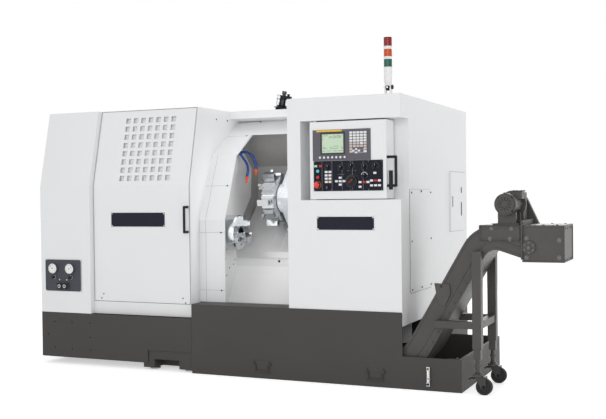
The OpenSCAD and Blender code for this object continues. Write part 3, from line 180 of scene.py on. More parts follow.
def brushed(name, srgb, rough, along, spread, edge=0.0, patch=3.0, metallic=1.0):
    """Sheet or bar steel with a grain that runs one way and a few broader streaks."""
    material, tree, shader = new_material(name)
    grain = noise(tree, coords(tree, along), 22.0, 4.0, 0.65)
    streaks = noise(tree, coords(tree), patch, 3.0, 0.6)
    mixed = maths(tree, "MULTIPLY_ADD", grain, 0.5, maths(tree, "MULTIPLY", streaks, 0.5))
    metal_finish(tree, shader, linear(srgb), mixed, rough, spread)
    tree.links.new(bump(tree, grain, 0.00003, 0.5, edge), shader.inputs["Normal"])
    shader.inputs["Metallic"].default_value = metallic
    return material


def turned(name, srgb, centre, rough):
    """Turned or ground metal: fine rings round an axis along X."""
    material, tree, shader = new_material(name)
    rings = tree.nodes.new("ShaderNodeTexWave")
    rings.wave_type = "RINGS"
    rings.rings_direction = "X"
    rings.inputs["Scale"].default_value = 140.0
    rings.inputs["Distortion"].default_value = 1.2
    rings.inputs["Detail"].default_value = 2.0
    rings.inputs["Detail Scale"].default_value = 2.0
    tree.links.new(coords(tree, location=-centre), rings.inputs["Vector"])
    patches = noise(tree, coords(tree), 25.0, 4.0, 0.6)
    metal_finish(tree, shader, linear(srgb), patches, rough, 0.06, 0.07)
    tree.links.new(bump(tree, rings.outputs["Fac"], 0.00002, 0.4, 0.0012), shader.inputs["Normal"])
    shader.inputs["Metallic"].default_value = 1.0
    return material


def clear(name, srgb):
    """Clear glass or acrylic with a little haze."""
    colour = linear(srgb)
    material, tree, shader = new_material(name)
    haze = noise(tree, coords(tree), 6.0, 4.0, 0.6)
    tree.links.new(map_range(tree, haze, 0.03, 0.11), shader.inputs["Roughness"])
    tree.links.new(colour_drift(tree, haze, shade(colour, 0.96), colour), shader.inputs["Base Color"])
    shader.inputs["Transmission Weight"].default_value = 1.0
    shader.inputs["IOR"].default_value = 1.5
    return material


def lens(name, srgb):
    """Tinted moulded plastic."""
    colour = linear(srgb)
    material, tree, shader = new_material(name)
    patches = noise(tree, coords(tree), 40.0, 3.0, 0.5)
    base = colour_drift(tree, patches, shade(colour, 0.82), colour, (0.2, 0.8))
    tree.links.new(base, shader.inputs["Base Color"])
    tree.links.new(map_range(tree, patches, 0.12, 0.22), shader.inputs["Roughness"])
    shader.inputs["Subsurface Weight"].default_value = 0.05
    shader.inputs["Subsurface Scale"].default_value = 0.01
    shader.inputs["Coat Weight"].default_value = 0.15
    shader.inputs["Specular IOR Level"].default_value = 0.3
    return material


# Spindle line and turret centre, for the rings of turned metal
SPINDLE_Y, SPINDLE_Z = 330, 965
TURRET_RISE = 339 * math.sqrt(0.5)
spindle_centre = P(0, SPINDLE_Y, SPINDLE_Z)
turret_centre = P(0, SPINDLE_Y + TURRET_RISE, SPINDLE_Z + TURRET_RISE)

# Paints and castings: colour, roughness, colour spread, patch and grain scales, grain depth, edge
WHITE = grainy("powder_coat_white", (0.915, 0.918, 0.922), 0.42, 0.012, 1.2, 900.0, 0.00003, 0.0025)
INNER = grainy("powder_coat_inner", (0.90, 0.90, 0.90), 0.4, 0.02, 2.0, 900.0, 0.00003, 0.002)
DARK = grainy("paint_dark", (0.278, 0.270, 0.264), 0.55, 0.05, 1.8, 800.0, 0.00005, 0.002,
              specular=0.22)
CONV = grainy("paint_conveyor", (0.272, 0.263, 0.258), 0.42, 0.12, 7.0, 500.0, 0.00008, 0.002,
              rough_spread=0.14, specular=0.4)
CAST = grainy("casting_enamel", (0.47, 0.49, 0.50), 0.5, 0.06, 6.0, 160.0, 0.0003, 0.003)
HOUSE = grainy("turret_housing", (0.80, 0.81, 0.82), 0.34, 0.05, 6.0, 300.0, 0.0001, 0.004)
SEAM = grainy("seam_shadow", (0.56, 0.56, 0.57), 0.7, 0.05, 8.0, 900.0, 0.00002)
SLOT = grainy("slot_shadow", (0.30, 0.30, 0.31), 0.8, 0.05, 8.0, 900.0, 0.00002, specular=0.2)

# Bare metal
CHAMBER = brushed("liner_sheet", (0.66, 0.655, 0.65), 0.42, (3, 14, 3), 0.16, patch=6.0, metallic=0.35)
LINER = brushed("stainless_cover", (0.84, 0.84, 0.84), 0.38, (2, 30, 30), 0.08, 0.001, metallic=0.45)
CHUCK = turned("chuck_ground", (0.82, 0.83, 0.84), spindle_centre, 0.18)
SPINDLE = turned("spindle_ground", (0.78, 0.79, 0.80), spindle_centre, 0.22)
JAW = brushed("jaw_steel", (0.80, 0.81, 0.82), 0.20, (60, 8, 8), 0.10, 0.0015)
DISC = turned("turret_ground", (0.76, 0.77, 0.78), turret_centre, 0.22)
TOOL = brushed("tool_steel", (0.74, 0.75, 0.76), 0.22, (8, 50, 8), 0.12, 0.0015)
ZINC = brushed("zinc_plate", (0.62, 0.62, 0.60), 0.35, (20, 20, 20), 0.12)
SHAFT = brushed("shaft_dark", (0.36, 0.35, 0.34), 0.35, (20, 20, 20), 0.12)
CHROME = brushed("trim_chrome", (0.82, 0.83, 0.84), 0.16, (30, 30, 30), 0.06)
BOLT = grainy("bolt_dark", (0.40, 0.39, 0.385), 0.35, 0.12, 60.0, 900.0, 0.00005, 0.001)
SCREW = grainy("screw_black_oxide", (0.12, 0.12, 0.12), 0.35, 0.2, 120.0, 2000.0, 0.00004, metallic=0.8)
FORK = grainy("caster_black", (0.16, 0.155, 0.15), 0.38, 0.12, 20.0, 900.0, 0.00005, 0.001)

# Mouldings, rubber and plates
BLACK = grainy("black_moulding", (0.06, 0.06, 0.065), 0.45, 0.10, 12.0, 1600.0, 0.00008, 0.001,
               specular=0.25)
GLOSSBLACK = grainy("black_enamel", (0.05, 0.05, 0.055), 0.22, 0.08, 10.0, 900.0, 0.00003, 0.001,
                    coat=0.3)
RUBBER = grainy("wheel_rubber", (0.085, 0.083, 0.082), 0.75, 0.12, 30.0, 900.0, 0.0001)
PLATE = grainy("plate_black", (0.09, 0.10, 0.16), 0.42, 0.05, 10.0, 1500.0, 0.00003, specular=0.18)
TOWERW = grainy("tower_white", (0.90, 0.90, 0.90), 0.3, 0.02, 20.0, 1500.0, 0.00003, 0.001)
BLUE = grainy("hose_blue", (0.05, 0.25, 0.56), 0.25, 0.10, 60.0, 1500.0, 0.00003, 0.0008, coat=0.2)
ORANGE = grainy("nozzle_orange", (0.96, 0.35, 0.06), 0.3, 0.06, 60.0, 1500.0, 0.00003, 0.0008)

# Display, panel and gauges
BEZEL = grainy("bezel_grey", (0.36, 0.355, 0.385), 0.5, 0.03, 10.0, 1500.0, 0.00006, 0.001, specular=0.3)
PANEL = grainy("panel_blue_black", (0.085, 0.09, 0.14), 0.5, 0.05, 12.0, 1500.0, 0.00005, 0.001,
               specular=0.15)
SCREENFRAME = grainy("screen_frame", (0.10, 0.10, 0.11), 0.35, 0.05, 12.0, 1500.0, 0.00004, 0.001)
SCREEN = grainy("lcd_pale_green", (0.76, 0.85, 0.74), 0.18, 0.02, 5.0, 3000.0, 0.000005)
LCDINK = grainy("lcd_ink", (0.45, 0.54, 0.46), 0.3, 0.05, 60.0, 2000.0, 0.00001)
KEYW = grainy("key_white", (0.90, 0.90, 0.91), 0.4, 0.03, 60.0, 2000.0, 0.00003, 0.0008)
KEYP = grainy("key_beige", (0.80, 0.74, 0.71), 0.4, 0.03, 60.0, 2000.0, 0.00003, 0.0008)
ORANGEK = grainy("key_warm", (0.95, 0.83, 0.70), 0.4, 0.03, 60.0, 2000.0, 0.00003)
KEYLINE = grainy("panel_line", (0.55, 0.56, 0.60), 0.5, 0.05, 60.0, 1500.0, 0.00002)
YELLOW = grainy("strip_yellow", (0.93, 0.74, 0.10), 0.4, 0.04, 20.0, 1500.0, 0.00002)
RED = grainy("button_red", (0.86, 0.09, 0.07), 0.22, 0.05, 40.0, 1500.0, 0.00002, coat=0.4)
REDDARK = grainy("lamp_red", (0.78, 0.05, 0.06), 0.3, 0.06, 50.0, 1500.0, 0.00002)
GREENW = grainy("lamp_green", (0.62, 0.88, 0.70), 0.3, 0.05, 50.0, 1500.0, 0.00002)
CYAN = grainy("button_cyan", (0.30, 0.76, 0.84), 0.25, 0.05, 50.0, 1500.0, 0.00002, coat=0.3)
BRONZE = grainy("stop_ring", (0.55, 0.36, 0.12), 0.35, 0.06, 50.0, 1500.0, 0.00002)
PANELGREY = grainy("gauge_plate", (0.27, 0.275, 0.30), 0.5, 0.05, 8.0, 1200.0, 0.00004, 0.001,
                   specular=0.25)
DIAL = grainy("dial_white", (0.93, 0.93, 0.92), 0.3, 0.02, 60.0, 1500.0, 0.00001)
DIALINK = grainy("dial_ink", (0.08, 0.08, 0.08), 0.5, 0.05, 60.0, 1500.0, 0.00001)

# Lenses and glass
LRED = lens("lens_red", (0.56, 0.03, 0.05))
LAMBER = lens("lens_amber", (0.80, 0.30, 0.06))
LGREEN = lens("lens_green", (0.02, 0.36, 0.30))
GLASS = clear("safety_glass", (0.86, 0.92, 0.92))
SIGHT = clear("sight_tube", (0.95, 0.96, 0.96))

paint = {
    "bed_casting": DARK, "levelling_feet": ZINC, "base_skirt": DARK, "coolant_tank": DARK,
    "left_end_cover": WHITE, "gauge_panel": PANELGREY, "headstock_cabinet": WHITE, "door_post": WHITE,
    "middle_roof": WHITE, "right_cover": WHITE, "side_access_cover": WHITE, "rear_cabinet": WHITE,
    "chamber_wall": INNER, "chamber_back": CHAMBER, "way_cover_fixed": LINER, "headstock_casting": CAST,
    "spindle_motor": CAST, "air_service_unit": BLACK, "conveyor_casing": CONV, "conveyor_gearmotor": CONV,
    "chain_guard": CONV, "support_frame": CONV, "coolant_hoses": BLUE, "headstock_door": WHITE,
    "headstock_door_handle": BLACK, "spindle": SPINDLE, "chuck_body": CHUCK, "chuck_jaw_1": JAW,
    "chuck_jaw_2": JAW, "chuck_jaw_3": JAW, "way_cover_slide": LINER, "carriage": LINER,
    "cross_slide": HOUSE, "turret_disc": DISC, "tool_holders": TOOL, "sliding_door": WHITE,
    "door_window": GLASS, "operator_pod": WHITE, "display_unit": BEZEL, "machine_panel": PANEL,
    "pod_handle": BLACK, "emergency_stop": RED, "handwheel": BLACK, "signal_tower": TOWERW,
    "caster_fork_1": FORK, "caster_fork_2": FORK, "caster_wheel_1": RUBBER, "caster_wheel_2": RUBBER,
    "drop_handle_1": DARK, "drop_handle_2": DARK, "side_door": WHITE, "rear_door": WHITE,
    "main_switch": RED, "conveyor_shaft": SHAFT,
}
for i in range(1, 7):
    paint["rotary_knob_%d" % i] = BLACK
for name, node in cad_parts.items():
    node.data.materials.clear()
    node.data.materials.append(paint[name])


# Mesh building

def square_to(axis):
    """The unit vector along axis and two more that are square to it."""
    a = Vector(axis).normalized()
    helper = Vector((0, 0, 1)) if abs(a.z) < 0.9 else Vector((1, 0, 0))
    u = a.cross(helper).normalized()
    return a, u, a.cross(u)


class Piece:
    """Collects faces in millimetre places and makes one object that rides on a body.

    m is the number of a face's material in the order given, c a chamfer and n a count of sides.
    """

    def __init__(self, name, body, *materials, angle=35):
        self.name, self.body, self.materials, self.angle = name, body, materials, angle
        self.points, self.faces, self.slots = [], [], []

    def add(self, points, faces, m=0):
        k = len(self.points)
        self.points += [Vector(p) for p in points]
        self.faces += [tuple(i + k for i in f) for f in faces]
        self.slots += [m] * len(faces)

    def box(self, low, high, m=0, c=0.8):
        """A block with chamfered edges between two corners."""
        low, high = Vector(low), Vector(high)
        half = [abs(h - l) / 2 for l, h in zip(low, high)]
        self.solid((low + high) / 2, [Vector(RIGHT), Vector(BACK), Vector(UP)], half, m, c)

    def solid(self, middle, axes, half, m=0, c=0.8):
        """A block with chamfered edges round its middle, along three axes."""
        c = min(c, min(half) * 0.45)
        signs = (-1, 1)
        corners = [(sx, sy, sz) for sx in signs for sy in signs for sz in signs]
        points, index = [], {}
        for corner in corners:
            for k in range(3):
                reach = [half[j] * s - (0 if j == k else c * s) for j, s in enumerate(corner)]
                index[(*corner, k)] = len(points)
                place = middle + axes[0] * reach[0] + axes[1] * reach[1] + axes[2] * reach[2]
                points.append(P(*place))
        faces = []
        for k in range(3):
            a, b = [j for j in range(3) if j != k]
            for s in signs:
                ring = []
                for ta, tb in ((-1, -1), (1, -1), (1, 1), (-1, 1)):
                    corner = [0, 0, 0]
                    corner[k], corner[a], corner[b] = s, ta, tb
                    ring.append(index[(*corner, k)])
                faces.append(ring if (s > 0) == (k != 1) else ring[::-1])
        for k in range(3):
            a, b = [j for j in range(3) if j != k]
            for sa in signs:
                for sb in signs:
                    ends = []
                    for t in signs:
                        corner = [0, 0, 0]
                        corner[k], corner[a], corner[b] = t, sa, sb
                        ends.append((index[(*corner, a)], index[(*corner, b)]))
                    ring = [ends[0][0], ends[1][0], ends[1][1], ends[0][1]]
                    faces.append(ring if (sa * sb > 0) == (k == 1) else ring[::-1])
        for corner in corners:
            ring = [index[(*corner, k)] for k in range(3)]
            faces.append(ring if corner[0] * corner[1] * corner[2] > 0 else ring[::-1])
        self.add(points, faces, m)

    def lathe(self, at, axis, profile, m=0, n=32, ribs=None):
        """Turns (radius, distance) points round axis; ribs is (every nth side, share of the radius)."""
        a, u, w = square_to(axis)
        at = Vector(at)
        points, start, single = [], [], []
        for r, d in profile:
            start.append(len(points))
            single.append(r < 1e-6)
            if single[-1]:
                points.append(P(*(at + a * d)))
                continue
            for i in range(n):
                turn = 2 * math.pi * i / n
                radius = r * (1 + (ribs[1] if ribs and i % ribs[0] == 0 else 0))
                points.append(P(*(at + a * d + (u * math.cos(turn) + w * math.sin(turn)) * radius)))
        faces = []
        for j in range(len(profile) - 1):
            p, q = start[j], start[j + 1]
            for i in range(n):
                k = (i + 1) % n
                if single[j]:
                    faces.append((q + i, q + k, p))
                elif single[j + 1]:
                    faces.append((q, p + k, p + i))
                else:
                    faces.append((q + i, q + k, p + k, p + i))
        self.add(points, faces, m)

    def disc(self, at, axis, r, h, m=0, c=0.6, n=32):
        c = min(c, h * 0.45, r * 0.45)
        self.lathe(at, axis, [(0, 0), (r - c, 0), (r, c), (r, h - c), (r - c, h), (0, h)], m, n)

    def screw(self, at, axis, r=4.5, m=0):
        """A button-head socket screw."""
        socket = r * 0.5
        head = [(r * 0.98, 0), (r, r * 0.16), (r * 0.86, r * 0.42), (r * 0.6, r * 0.56), (socket, r * 0.6)]
        self.lathe(at, axis, head, m, 16)
        self.lathe(at, axis, [(socket, r * 0.6), (socket * 0.96, r * 0.2), (0, r * 0.16)], m, 6)

    def bolt(self, at, axis, r=8, m=0):
        """A hexagon bolt head on its washer."""
        self.disc(at, axis, r * 1.35, r * 0.22, m, 0.4, 20)
        foot = Vector(at) + Vector(axis).normalized() * r * 0.2
        self.lathe(foot, axis, [(r, 0), (r, r * 0.55), (r * 0.8, r * 0.68), (0, r * 0.68)], m, 6)

    def mark(self, centre, radius, angle, half, m, c=0.1):
        """A small bar on a circle in a front face, pointing outward; angle runs clockwise from the top."""
        s, k = math.sin(angle), math.cos(angle)
        x, y, z = centre
        middle = Vector((x + radius * s, y, z + radius * k))
        self.solid(middle, [Vector((k, 0, -s)), Vector(BACK), Vector((s, 0, k))], half, m, c)

    def prism_xz(self, outline, front, back, m=0):
        """An upright (x, z) outline pushed from front to back."""
        self.push([P(x, front, z) for x, z in outline], [P(x, back, z) for x, z in outline], m)

    def prism_yz(self, outline, left, right, m=0):
        """A (y, z) outline pushed from left to right."""
        self.push([P(left, y, z) for y, z in outline], [P(right, y, z) for y, z in outline], m)

    def push(self, near, far, m):
        n = len(near)
        faces = [tuple(range(n))[::-1], tuple(range(n, 2 * n))]
        faces += [(i, (i + 1) % n, n + (i + 1) % n, n + i) for i in range(n)]
        self.add(near + far, faces, m)

    def done(self):
        mesh = bpy.data.meshes.new(self.name)
        mesh.from_pydata(self.points, [], self.faces)
        for material in self.materials:
            mesh.materials.append(material)
        mesh.polygons.foreach_set("material_index", self.slots)
        mesh.polygons.foreach_set("use_smooth", [True] * len(self.faces))
        mesh.update()
        mesh.set_sharp_from_angle(angle=math.radians(self.angle))
        piece = bpy.data.objects.new(self.name, mesh)
        bpy.context.scene.collection.objects.link(piece)
        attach(piece, self.body)
        return piece


# Camera, floor and light

CAMERA_PLACE = (1886, -5766, 1227)
CAMERA_LENS = 57.15
FLOOR_HALF = 40.0
FLOOR_GLOW = 0.52
WORLD_LIGHT = 0.55


def add_camera():
    """The photograph's view: from the front and to the right, nearly level."""
    camera = bpy.data.cameras.new("camera")
    camera_object = bpy.data.objects.new("camera", camera)
    bpy.context.scene.collection.objects.link(camera_object)
    right = Vector((0.9140, 0.4056, -0.0115)).normalized()
    back = Vector((0.4057, -0.9138, 0.0151)).normalized()
    up = back.cross(right).normalized()
    right = up.cross(back)
    camera_object.matrix_world = Matrix((right, up, back)).transposed().to_4x4()
    camera_object.location = P(*CAMERA_PLACE)
    camera.sensor_width = 36
    camera.lens = CAMERA_LENS
    camera.clip_end = 200
    bpy.context.scene.camera = camera_object


def seen_ray(tree):
    """1 for rays from the camera, from reflections and through glass."""
    path = tree.nodes.new("ShaderNodeLightPath")
    total = path.outputs["Is Camera Ray"]
    for ray in ("Is Glossy Ray", "Is Transmission Ray"):
        total = maths(tree, "ADD", total, path.outputs[ray], clamp=True)
    return total


def add_floor():
    """A pale floor that glows for the rays that are seen, so that it comes out white."""
    mesh = bpy.data.meshes.new("floor")
    s = FLOOR_HALF
    mesh.from_pydata([(-s, -s, 0), (s, -s, 0), (s, s, 0), (-s, s, 0)], [], [(0, 1, 2, 3)])
    floor = bpy.data.objects.new("floor", mesh)
    bpy.context.scene.collection.objects.link(floor)
    material, tree, shader = new_material("floor_pale")
    shader.inputs["Base Color"].default_value = (0.93, 0.93, 0.93, 1)
    shader.inputs["Roughness"].default_value = 0.9
    shader.inputs["Specular IOR Level"].default_value = 0.1
    shader.inputs["Emission Color"].default_value = (1, 1, 1, 1)
    glow = maths(tree, "MULTIPLY", seen_ray(tree), FLOOR_GLOW)
    tree.links.new(glow, shader.inputs["Emission Strength"])
    mesh.materials.append(material)


def add_world():
    """Soft white light, which the seen rays see as plain white."""
    world = bpy.data.worlds.new("studio")
    world.use_nodes = True
    bpy.context.scene.world = world
    tree = world.node_tree
    tree.nodes.clear()
    out = tree.nodes.new("ShaderNodeOutputWorld")
    mix = tree.nodes.new("ShaderNodeMixShader")
    tree.links.new(seen_ray(tree), mix.inputs[0])
    for i, strength in ((1, WORLD_LIGHT), (2, 1.0)):
        light = tree.nodes.new("ShaderNodeBackground")
        light.inputs[0].default_value = (1, 1, 1, 1)
        light.inputs[1].default_value = strength
        tree.links.new(light.outputs[0], mix.inputs[i])
    tree.links.new(mix.outputs[0], out.inputs[0])


def lamp(name, at, target, size, power):
    light = bpy.data.lights.new(name, "AREA")
    light.shape = "RECTANGLE"
    light.size, light.size_y = size
    light.energy = power
    light_object = bpy.data.objects.new(name, light)
    bpy.context.scene.collection.objects.link(light_object)
    light_object.location = P(*at)
    light_object.visible_camera = False
    light_object.rotation_mode = "QUATERNION"
    light_object.rotation_quaternion = (P(*target) - P(*at)).to_track_quat("-Z", "Y")


add_camera()
add_floor()
add_world()
lamp("key", (1500, -6400, 2600), (-1100, 300, 950), (4.0, 3.0), 112)
lamp("fill", (-3600, -5200, 2800), (-1200, 300, 900), (3.0, 3.0), 38)
lamp("top", (-900, 700, 5200), (-900, 700, 900), (5.0, 3.0), 45)
lamp("side", (5200, 900, 1300), (0, 800, 800), (3.0, 2.0), 58)
lamp("back", (-1500, 6200, 3000), (-900, 900, 900), (4.0, 3.0), 90)
lamp("work_light", (-800, 290, 1230), (-1450, 420, 1130), (0.16, 0.9), 2.4)
bpy.context.scene.view_settings.view_transform = "Standard"

# The bay's right wall, the post beside the opening with its seams, and the skirt's screws as (x, z)
BAY_RIGHT, POST_LEFT, POST_RIGHT = -1554, -1552, -1357
POST_FRONT, CHAMBER_LEFT = 170, -1450
SEAM_HEIGHTS = (563, 970)
DOOR_FRONT = 44
SKIRT_ROWS = ((-2545, 310), (-2700, 310), (-2385, 310), (-2385, 205), (-2762, 215), (-2700, 118),
              (-2545, 115), (-2385, 112))


def cover_screws():
    screws = Piece("cover_screws", "machine", SCREW)
    for z in SEAM_HEIGHTS:
        screws.screw((-1382, POST_FRONT, z), FRONT, 6)
    screws.screw((-1380, 269, 1299), FACET_2, 6)
    for x, y, z in ((-1389, 598, 1670), (-1362, 776, 1782)):
        screws.screw((x, y, z), FACET_3, 6)
    for y, z in ((434, 1788), (606, 1789)):
        screws.screw((BAY_RIGHT, y, z), RIGHT, 6)
    for y, z in ((357, 773), (415, 703), (370, 651), (500, 758), (480, 724)):
        screws.screw((CHAMBER_LEFT, y, z), RIGHT, 5)
    for x, z in SKIRT_ROWS:
        screws.screw((x, 0, z), FRONT, 5)
    screws.done()


def post_seams():
    """Fine seams in the post's facets, laid on the sheet."""
    seams = Piece("post_seams", "machine", SEAM)
    front, behind = POST_FRONT - 0.6, POST_FRONT + 0.2
    for z in SEAM_HEIGHTS:
        seams.box((POST_LEFT, front, z - 0.8), (POST_RIGHT, behind, z + 0.8), 0, 0.1)
    seams.box((-1504.5, front, 486), (-1503, behind, 1058), 0, 0.1)
    rise_2 = Vector((0, 190, 460)).normalized()
    rise_3 = Vector((0, 450, 284)).normalized()
    for middle, normal, rise, half in (
        ((-1454, POST_FRONT + (1299 - 1060) * 190 / 460, 1299), FACET_2, rise_2, (97, 0.4, 0.8)),
        ((-1504, 265, 1290), FACET_2, rise_2, (0.8, 0.4, 245)),
        ((-1454, 598, 1670), FACET_3, rise_3, (97, 0.4, 0.8)),
    ):
        seams.solid(Vector(middle), [Vector(RIGHT), Vector(normal), rise], half, 0, 0.1)
    seams.done()


def bare_plate(piece, left, right, low, high, y, inset):
    """A bare dark plate with a bright rim and a screw in each corner, on a face at y."""
    piece.box((left, y - 1.5, low), (right, y, high), 1, 0.6)
    piece.box((left + 6, y - 2.2, low + 6), (right - 6, y - 1.4, high - 6), 0, 0.2)
    for x in (left + inset, right - inset):
        for z in (low + inset, high - inset):
            piece.screw((x, y - 2.2, z), FRONT, 5, 1)


def front_plate():
    plate = Piece("front_plate", "machine", PLATE, CHROME, SCREW)
    bare_plate(plate, -580, -175, 993, 1090, 0, 12)
    plate.done()


def door_plate():
    plate = Piece("door_plate", "headstock_door", PLATE, CHROME, SCREW)
    bare_plate(plate, -2220, -1756, 1008, 1120, DOOR_FRONT, 13)
    for x, z in ((-2308, 493), (-2290, 525), (-1600, 480), (-1622, 512)):
        plate.screw((x, DOOR_FRONT, z), FRONT, 5, 2)
    plate.done()


# Operator panel: its face and the middles of what turns on it
FACE = 1.0
KNOBS = ((-494, 1405), (-405, 1399), (-333, 1410), (-244, 1403), (-244, 1347), (-169, 1407))
OVERRIDE_KNOB = KNOBS[4]
HANDWHEEL = (-328, 1312)
STOP = (-567, 1291)
KEY_W, KEY_H = 20, 13.5
LINE, PALE, BEIGE, CRIMSON, AQUA, MINT, JET, WARM = range(1, 9)


def panel_keys():
    """The machine panel's keys, lamps and ring marks."""
    panel = Piece("panel_keys", "operator_pod", PANEL, KEYLINE, KEYW, KEYP, REDDARK, CYAN, GREENW,
                  BLACK, ORANGEK)

    def key(x, z, m, h=KEY_H):
        panel.box((x - KEY_W / 2, FACE - 3.4, z - h / 2), (x + KEY_W / 2, FACE, z + h / 2), m, 1.2)

    for x in (-536, -466, -396, -325, -252):
        panel.box((x - 0.8, FACE - 0.5, 1256), (x + 0.8, FACE + 0.2, 1440), LINE, 0.1)
    key(-580, 1413, MINT, 14)
    key(-546, 1413, CRIMSON, 14)
    for z in (1374, 1352, 1331, 1310):
        for x in (-506, -480):
            key(x, z, WARM if (x, z) == (-480, 1310) else PALE, 14)
    for x, z in ((-409, 1335), (-435, 1313), (-409, 1313), (-383, 1313), (-409, 1291)):
        key(x, z, PALE)
    for x, z, m in ((-273, 1305, PALE), (-245, 1305, CRIMSON), (-219, 1305, PALE), (-273, 1275, PALE),
                    (-172, 1362, PALE), (-195, 1314, PALE), (-168, 1314, CRIMSON), (-142, 1314, PALE),
                    (-195, 1283, PALE), (-168, 1283, PALE), (-142, 1283, PALE)):
        key(x, z, m)
    for z, m in ((1380, AQUA), (1340, CRIMSON)):
        panel.disc((-563, FACE - 5, z), FRONT, 12.5, 2, JET, 0.6)
        panel.lathe((-563, FACE - 7, z), FRONT, [(10.5, -1), (10.5, 2.5), (8.5, 4.5), (0, 5)], m)
    panel.disc((-498, FACE - 5, 1274), FRONT, 8, 1.5, JET)
    panel.box((-499.2, FACE - 19, 1266), (-496.8, FACE - 5, 1282), LINE, 0.4)
    for x, z in KNOBS:
        for k in range(11):
            panel.mark((x, FACE - 0.3, z), 21, math.radians(-130 + 26 * k), (0.7, 0.3, 2.2), LINE)
    x, z = OVERRIDE_KNOB
    for k in range(20):
        panel.mark((x, FACE - 0.4, z), 20.5, math.radians(-70 + 140 * k / 19), (2.0, 0.4, 2.6), PALE)
    x, z = HANDWHEEL
    for k in range(40):
        half = (0.5, 0.3, 1.8 if k % 5 else 3.0)
        panel.mark((x, FACE - 0.3, z), 44.5, math.radians(9 * k), half, LINE)
    for k, m in enumerate((MINT, CRIMSON, CRIMSON, BEIGE)):
        panel.box((-356 + 16 * k, FACE - 1.2, 1379), (-350 + 16 * k, FACE, 1381), m, 0.2)
    for k in range(4):
        m = MINT if k % 2 else LINE
        panel.box((-425 + 12 * k, FACE - 1.2, 1356), (-420 + 12 * k, FACE, 1358), m, 0.2)
    for x in (-588, -470, -340, -215, -127):
        for z in (1257, 1438):
            panel.screw((x, FACE, z), FRONT, 3.0, LINE)
    panel.done()


# Display: the screen's outer frame and the traces on it, as (height, spans)
SCREEN_LEFT, SCREEN_RIGHT, SCREEN_LOW, SCREEN_HIGH = -545, -374, 1488, 1631
TRACES = (
    (1608, ((-531, -490), (-452, -441), (-430, -405), (-399, -390))),
    (1601, ((-531, -526), (-485, -455), (-447, -424), (-418, -398))),
    (1594, ((-531, -526), (-487, -470), (-462, -437), (-430, -402))),
    (1587, ((-531, -527),)), (1580, ((-531, -527),)),
    (1540, ((-455, -417),)), (1533, ((-529, -514), (-478, -466), (-402, -390))),
    (1526, ((-529, -500), (-478, -420), (-402, -386))),
    (1510, ((-531, -510), (-500, -470), (-455, -430), (-420, -390))),
)


def display_face():
    """Screen with its frame, the keypad beside it, the row of round keys and the bare yellow strip."""
    display = Piece("display_face", "operator_pod", BEZEL, SCREENFRAME, SCREEN, LCDINK, KEYW, KEYP,
                    YELLOW, KEYLINE)
    left, right, low, high = SCREEN_LEFT, SCREEN_RIGHT, SCREEN_LOW, SCREEN_HIGH
    for x0, x1, z0, z1 in ((left, left + 11, low, high), (right - 11, right, low, high),
                           (left + 10, right - 10, low, low + 9), (left + 10, right - 10, high - 13, high)):
        display.box((x0, FACE - 3.5, z0), (x1, FACE, z1), 1, 0.8)
    display.box((left + 10, FACE - 0.6, low + 8), (right - 10, FACE + 1.5, high - 12), 2, 0.2)
    for z, spans in TRACES:
        for start, end in spans:
            display.box((start, FACE - 0.9, z - 1.6), (end, FACE - 0.4, z + 1.6), 3, 0.05)
    for k in range(7):
        display.disc((-548 + 28.6 * k, FACE - 3.2, 1468), FRONT, 7.5, 1.6, 4, 0.6, 24)
    display.box((-573, FACE - 1.2, 1634), (-396, FACE, 1644), 6, 0.2)
    for row in range(8):
        for column in range(5):
            if row > 5 and 1 <= column <= 3:
                continue
            beige = row > 3 and (row, column) not in ((4, 3), (7, 4))
            x, z = -332.5 + 24.2 * column, 1623 - 17.4 * row
            display.box((x - 10, FACE - 3.6, z - 7), (x + 10, FACE, z + 7), 5 if beige else 4, 1.2)
    display.box((-320, FACE - 1.4, 1491), (-246, FACE, 1522), 7, 0.4)
    for x, z, w in ((-297, 1517, 15), (-297, 1495, 15), (-316, 1506, 17), (-278, 1506, 17)):
        display.box((x - w / 2, FACE - 3.8, z - 5.5), (x + w / 2, FACE - 1, z + 5.5), 4, 1.0)
    display.box((-341, FACE - 1.0, 1484), (-337, FACE, 1632), 0, 0.2)
    display.done()


def handwheel_line():
    """The handwheel's rim and the red line on its face."""
    wheel = Piece("handwheel_line", "handwheel", RED, GLOSSBLACK)
    x, z = HANDWHEEL
    a = math.radians(28)
    across = Vector((math.cos(a), 0, -math.sin(a) * 2.2)).normalized()
    along = Vector((math.sin(a) * 2.2, 0, math.cos(a))).normalized()
    wheel.solid(Vector((x - 6, -16.6, z)), [across, Vector(BACK), along], [1.6, 0.7, 18], 0, 0.3)
    rim = [(36.3, -6), (37.4, -4.5), (37.4, -1.5), (36, 0.2), (33, 0.4)]
    wheel.lathe((x, -15.9, z), FRONT, rim, 1, 48)
    wheel.done()


def stop_button():
    x, z = STOP
    ring = Piece("stop_ring", "operator_pod", BRONZE)
    ring.lathe((x, FACE, z), FRONT, [(25, 0), (25, 3), (22.5, 6.3), (21, 6.3)], 0, 40)
    ring.done()
    head = Piece("stop_head", "emergency_stop", RED)
    mushroom = [(17.2, -4), (19.5, -1), (19.5, 3), (17, 6.5), (9, 8.2), (0, 8.5)]
    head.lathe((x, FACE - 20, z), FRONT, mushroom, 0, 40)
    head.done()


def knob_skirts():
    skirt = [(13.4, 0), (14.2, 1), (13.2, 3.5), (10.5, 5.6), (9.5, 9)]
    for i, (x, z) in enumerate(KNOBS, 1):
        knob = Piece("knob_skirt_%d" % i, "knob_%d" % i, GLOSSBLACK, KEYW)
        knob.lathe((x, FACE - 0.4, z), FRONT, skirt, 0, 32)
        knob.box((x - 0.8, FACE - 15.6, z + 3), (x + 0.8, FACE - 14.5, z + 12), 1, 0.2)
        knob.done()


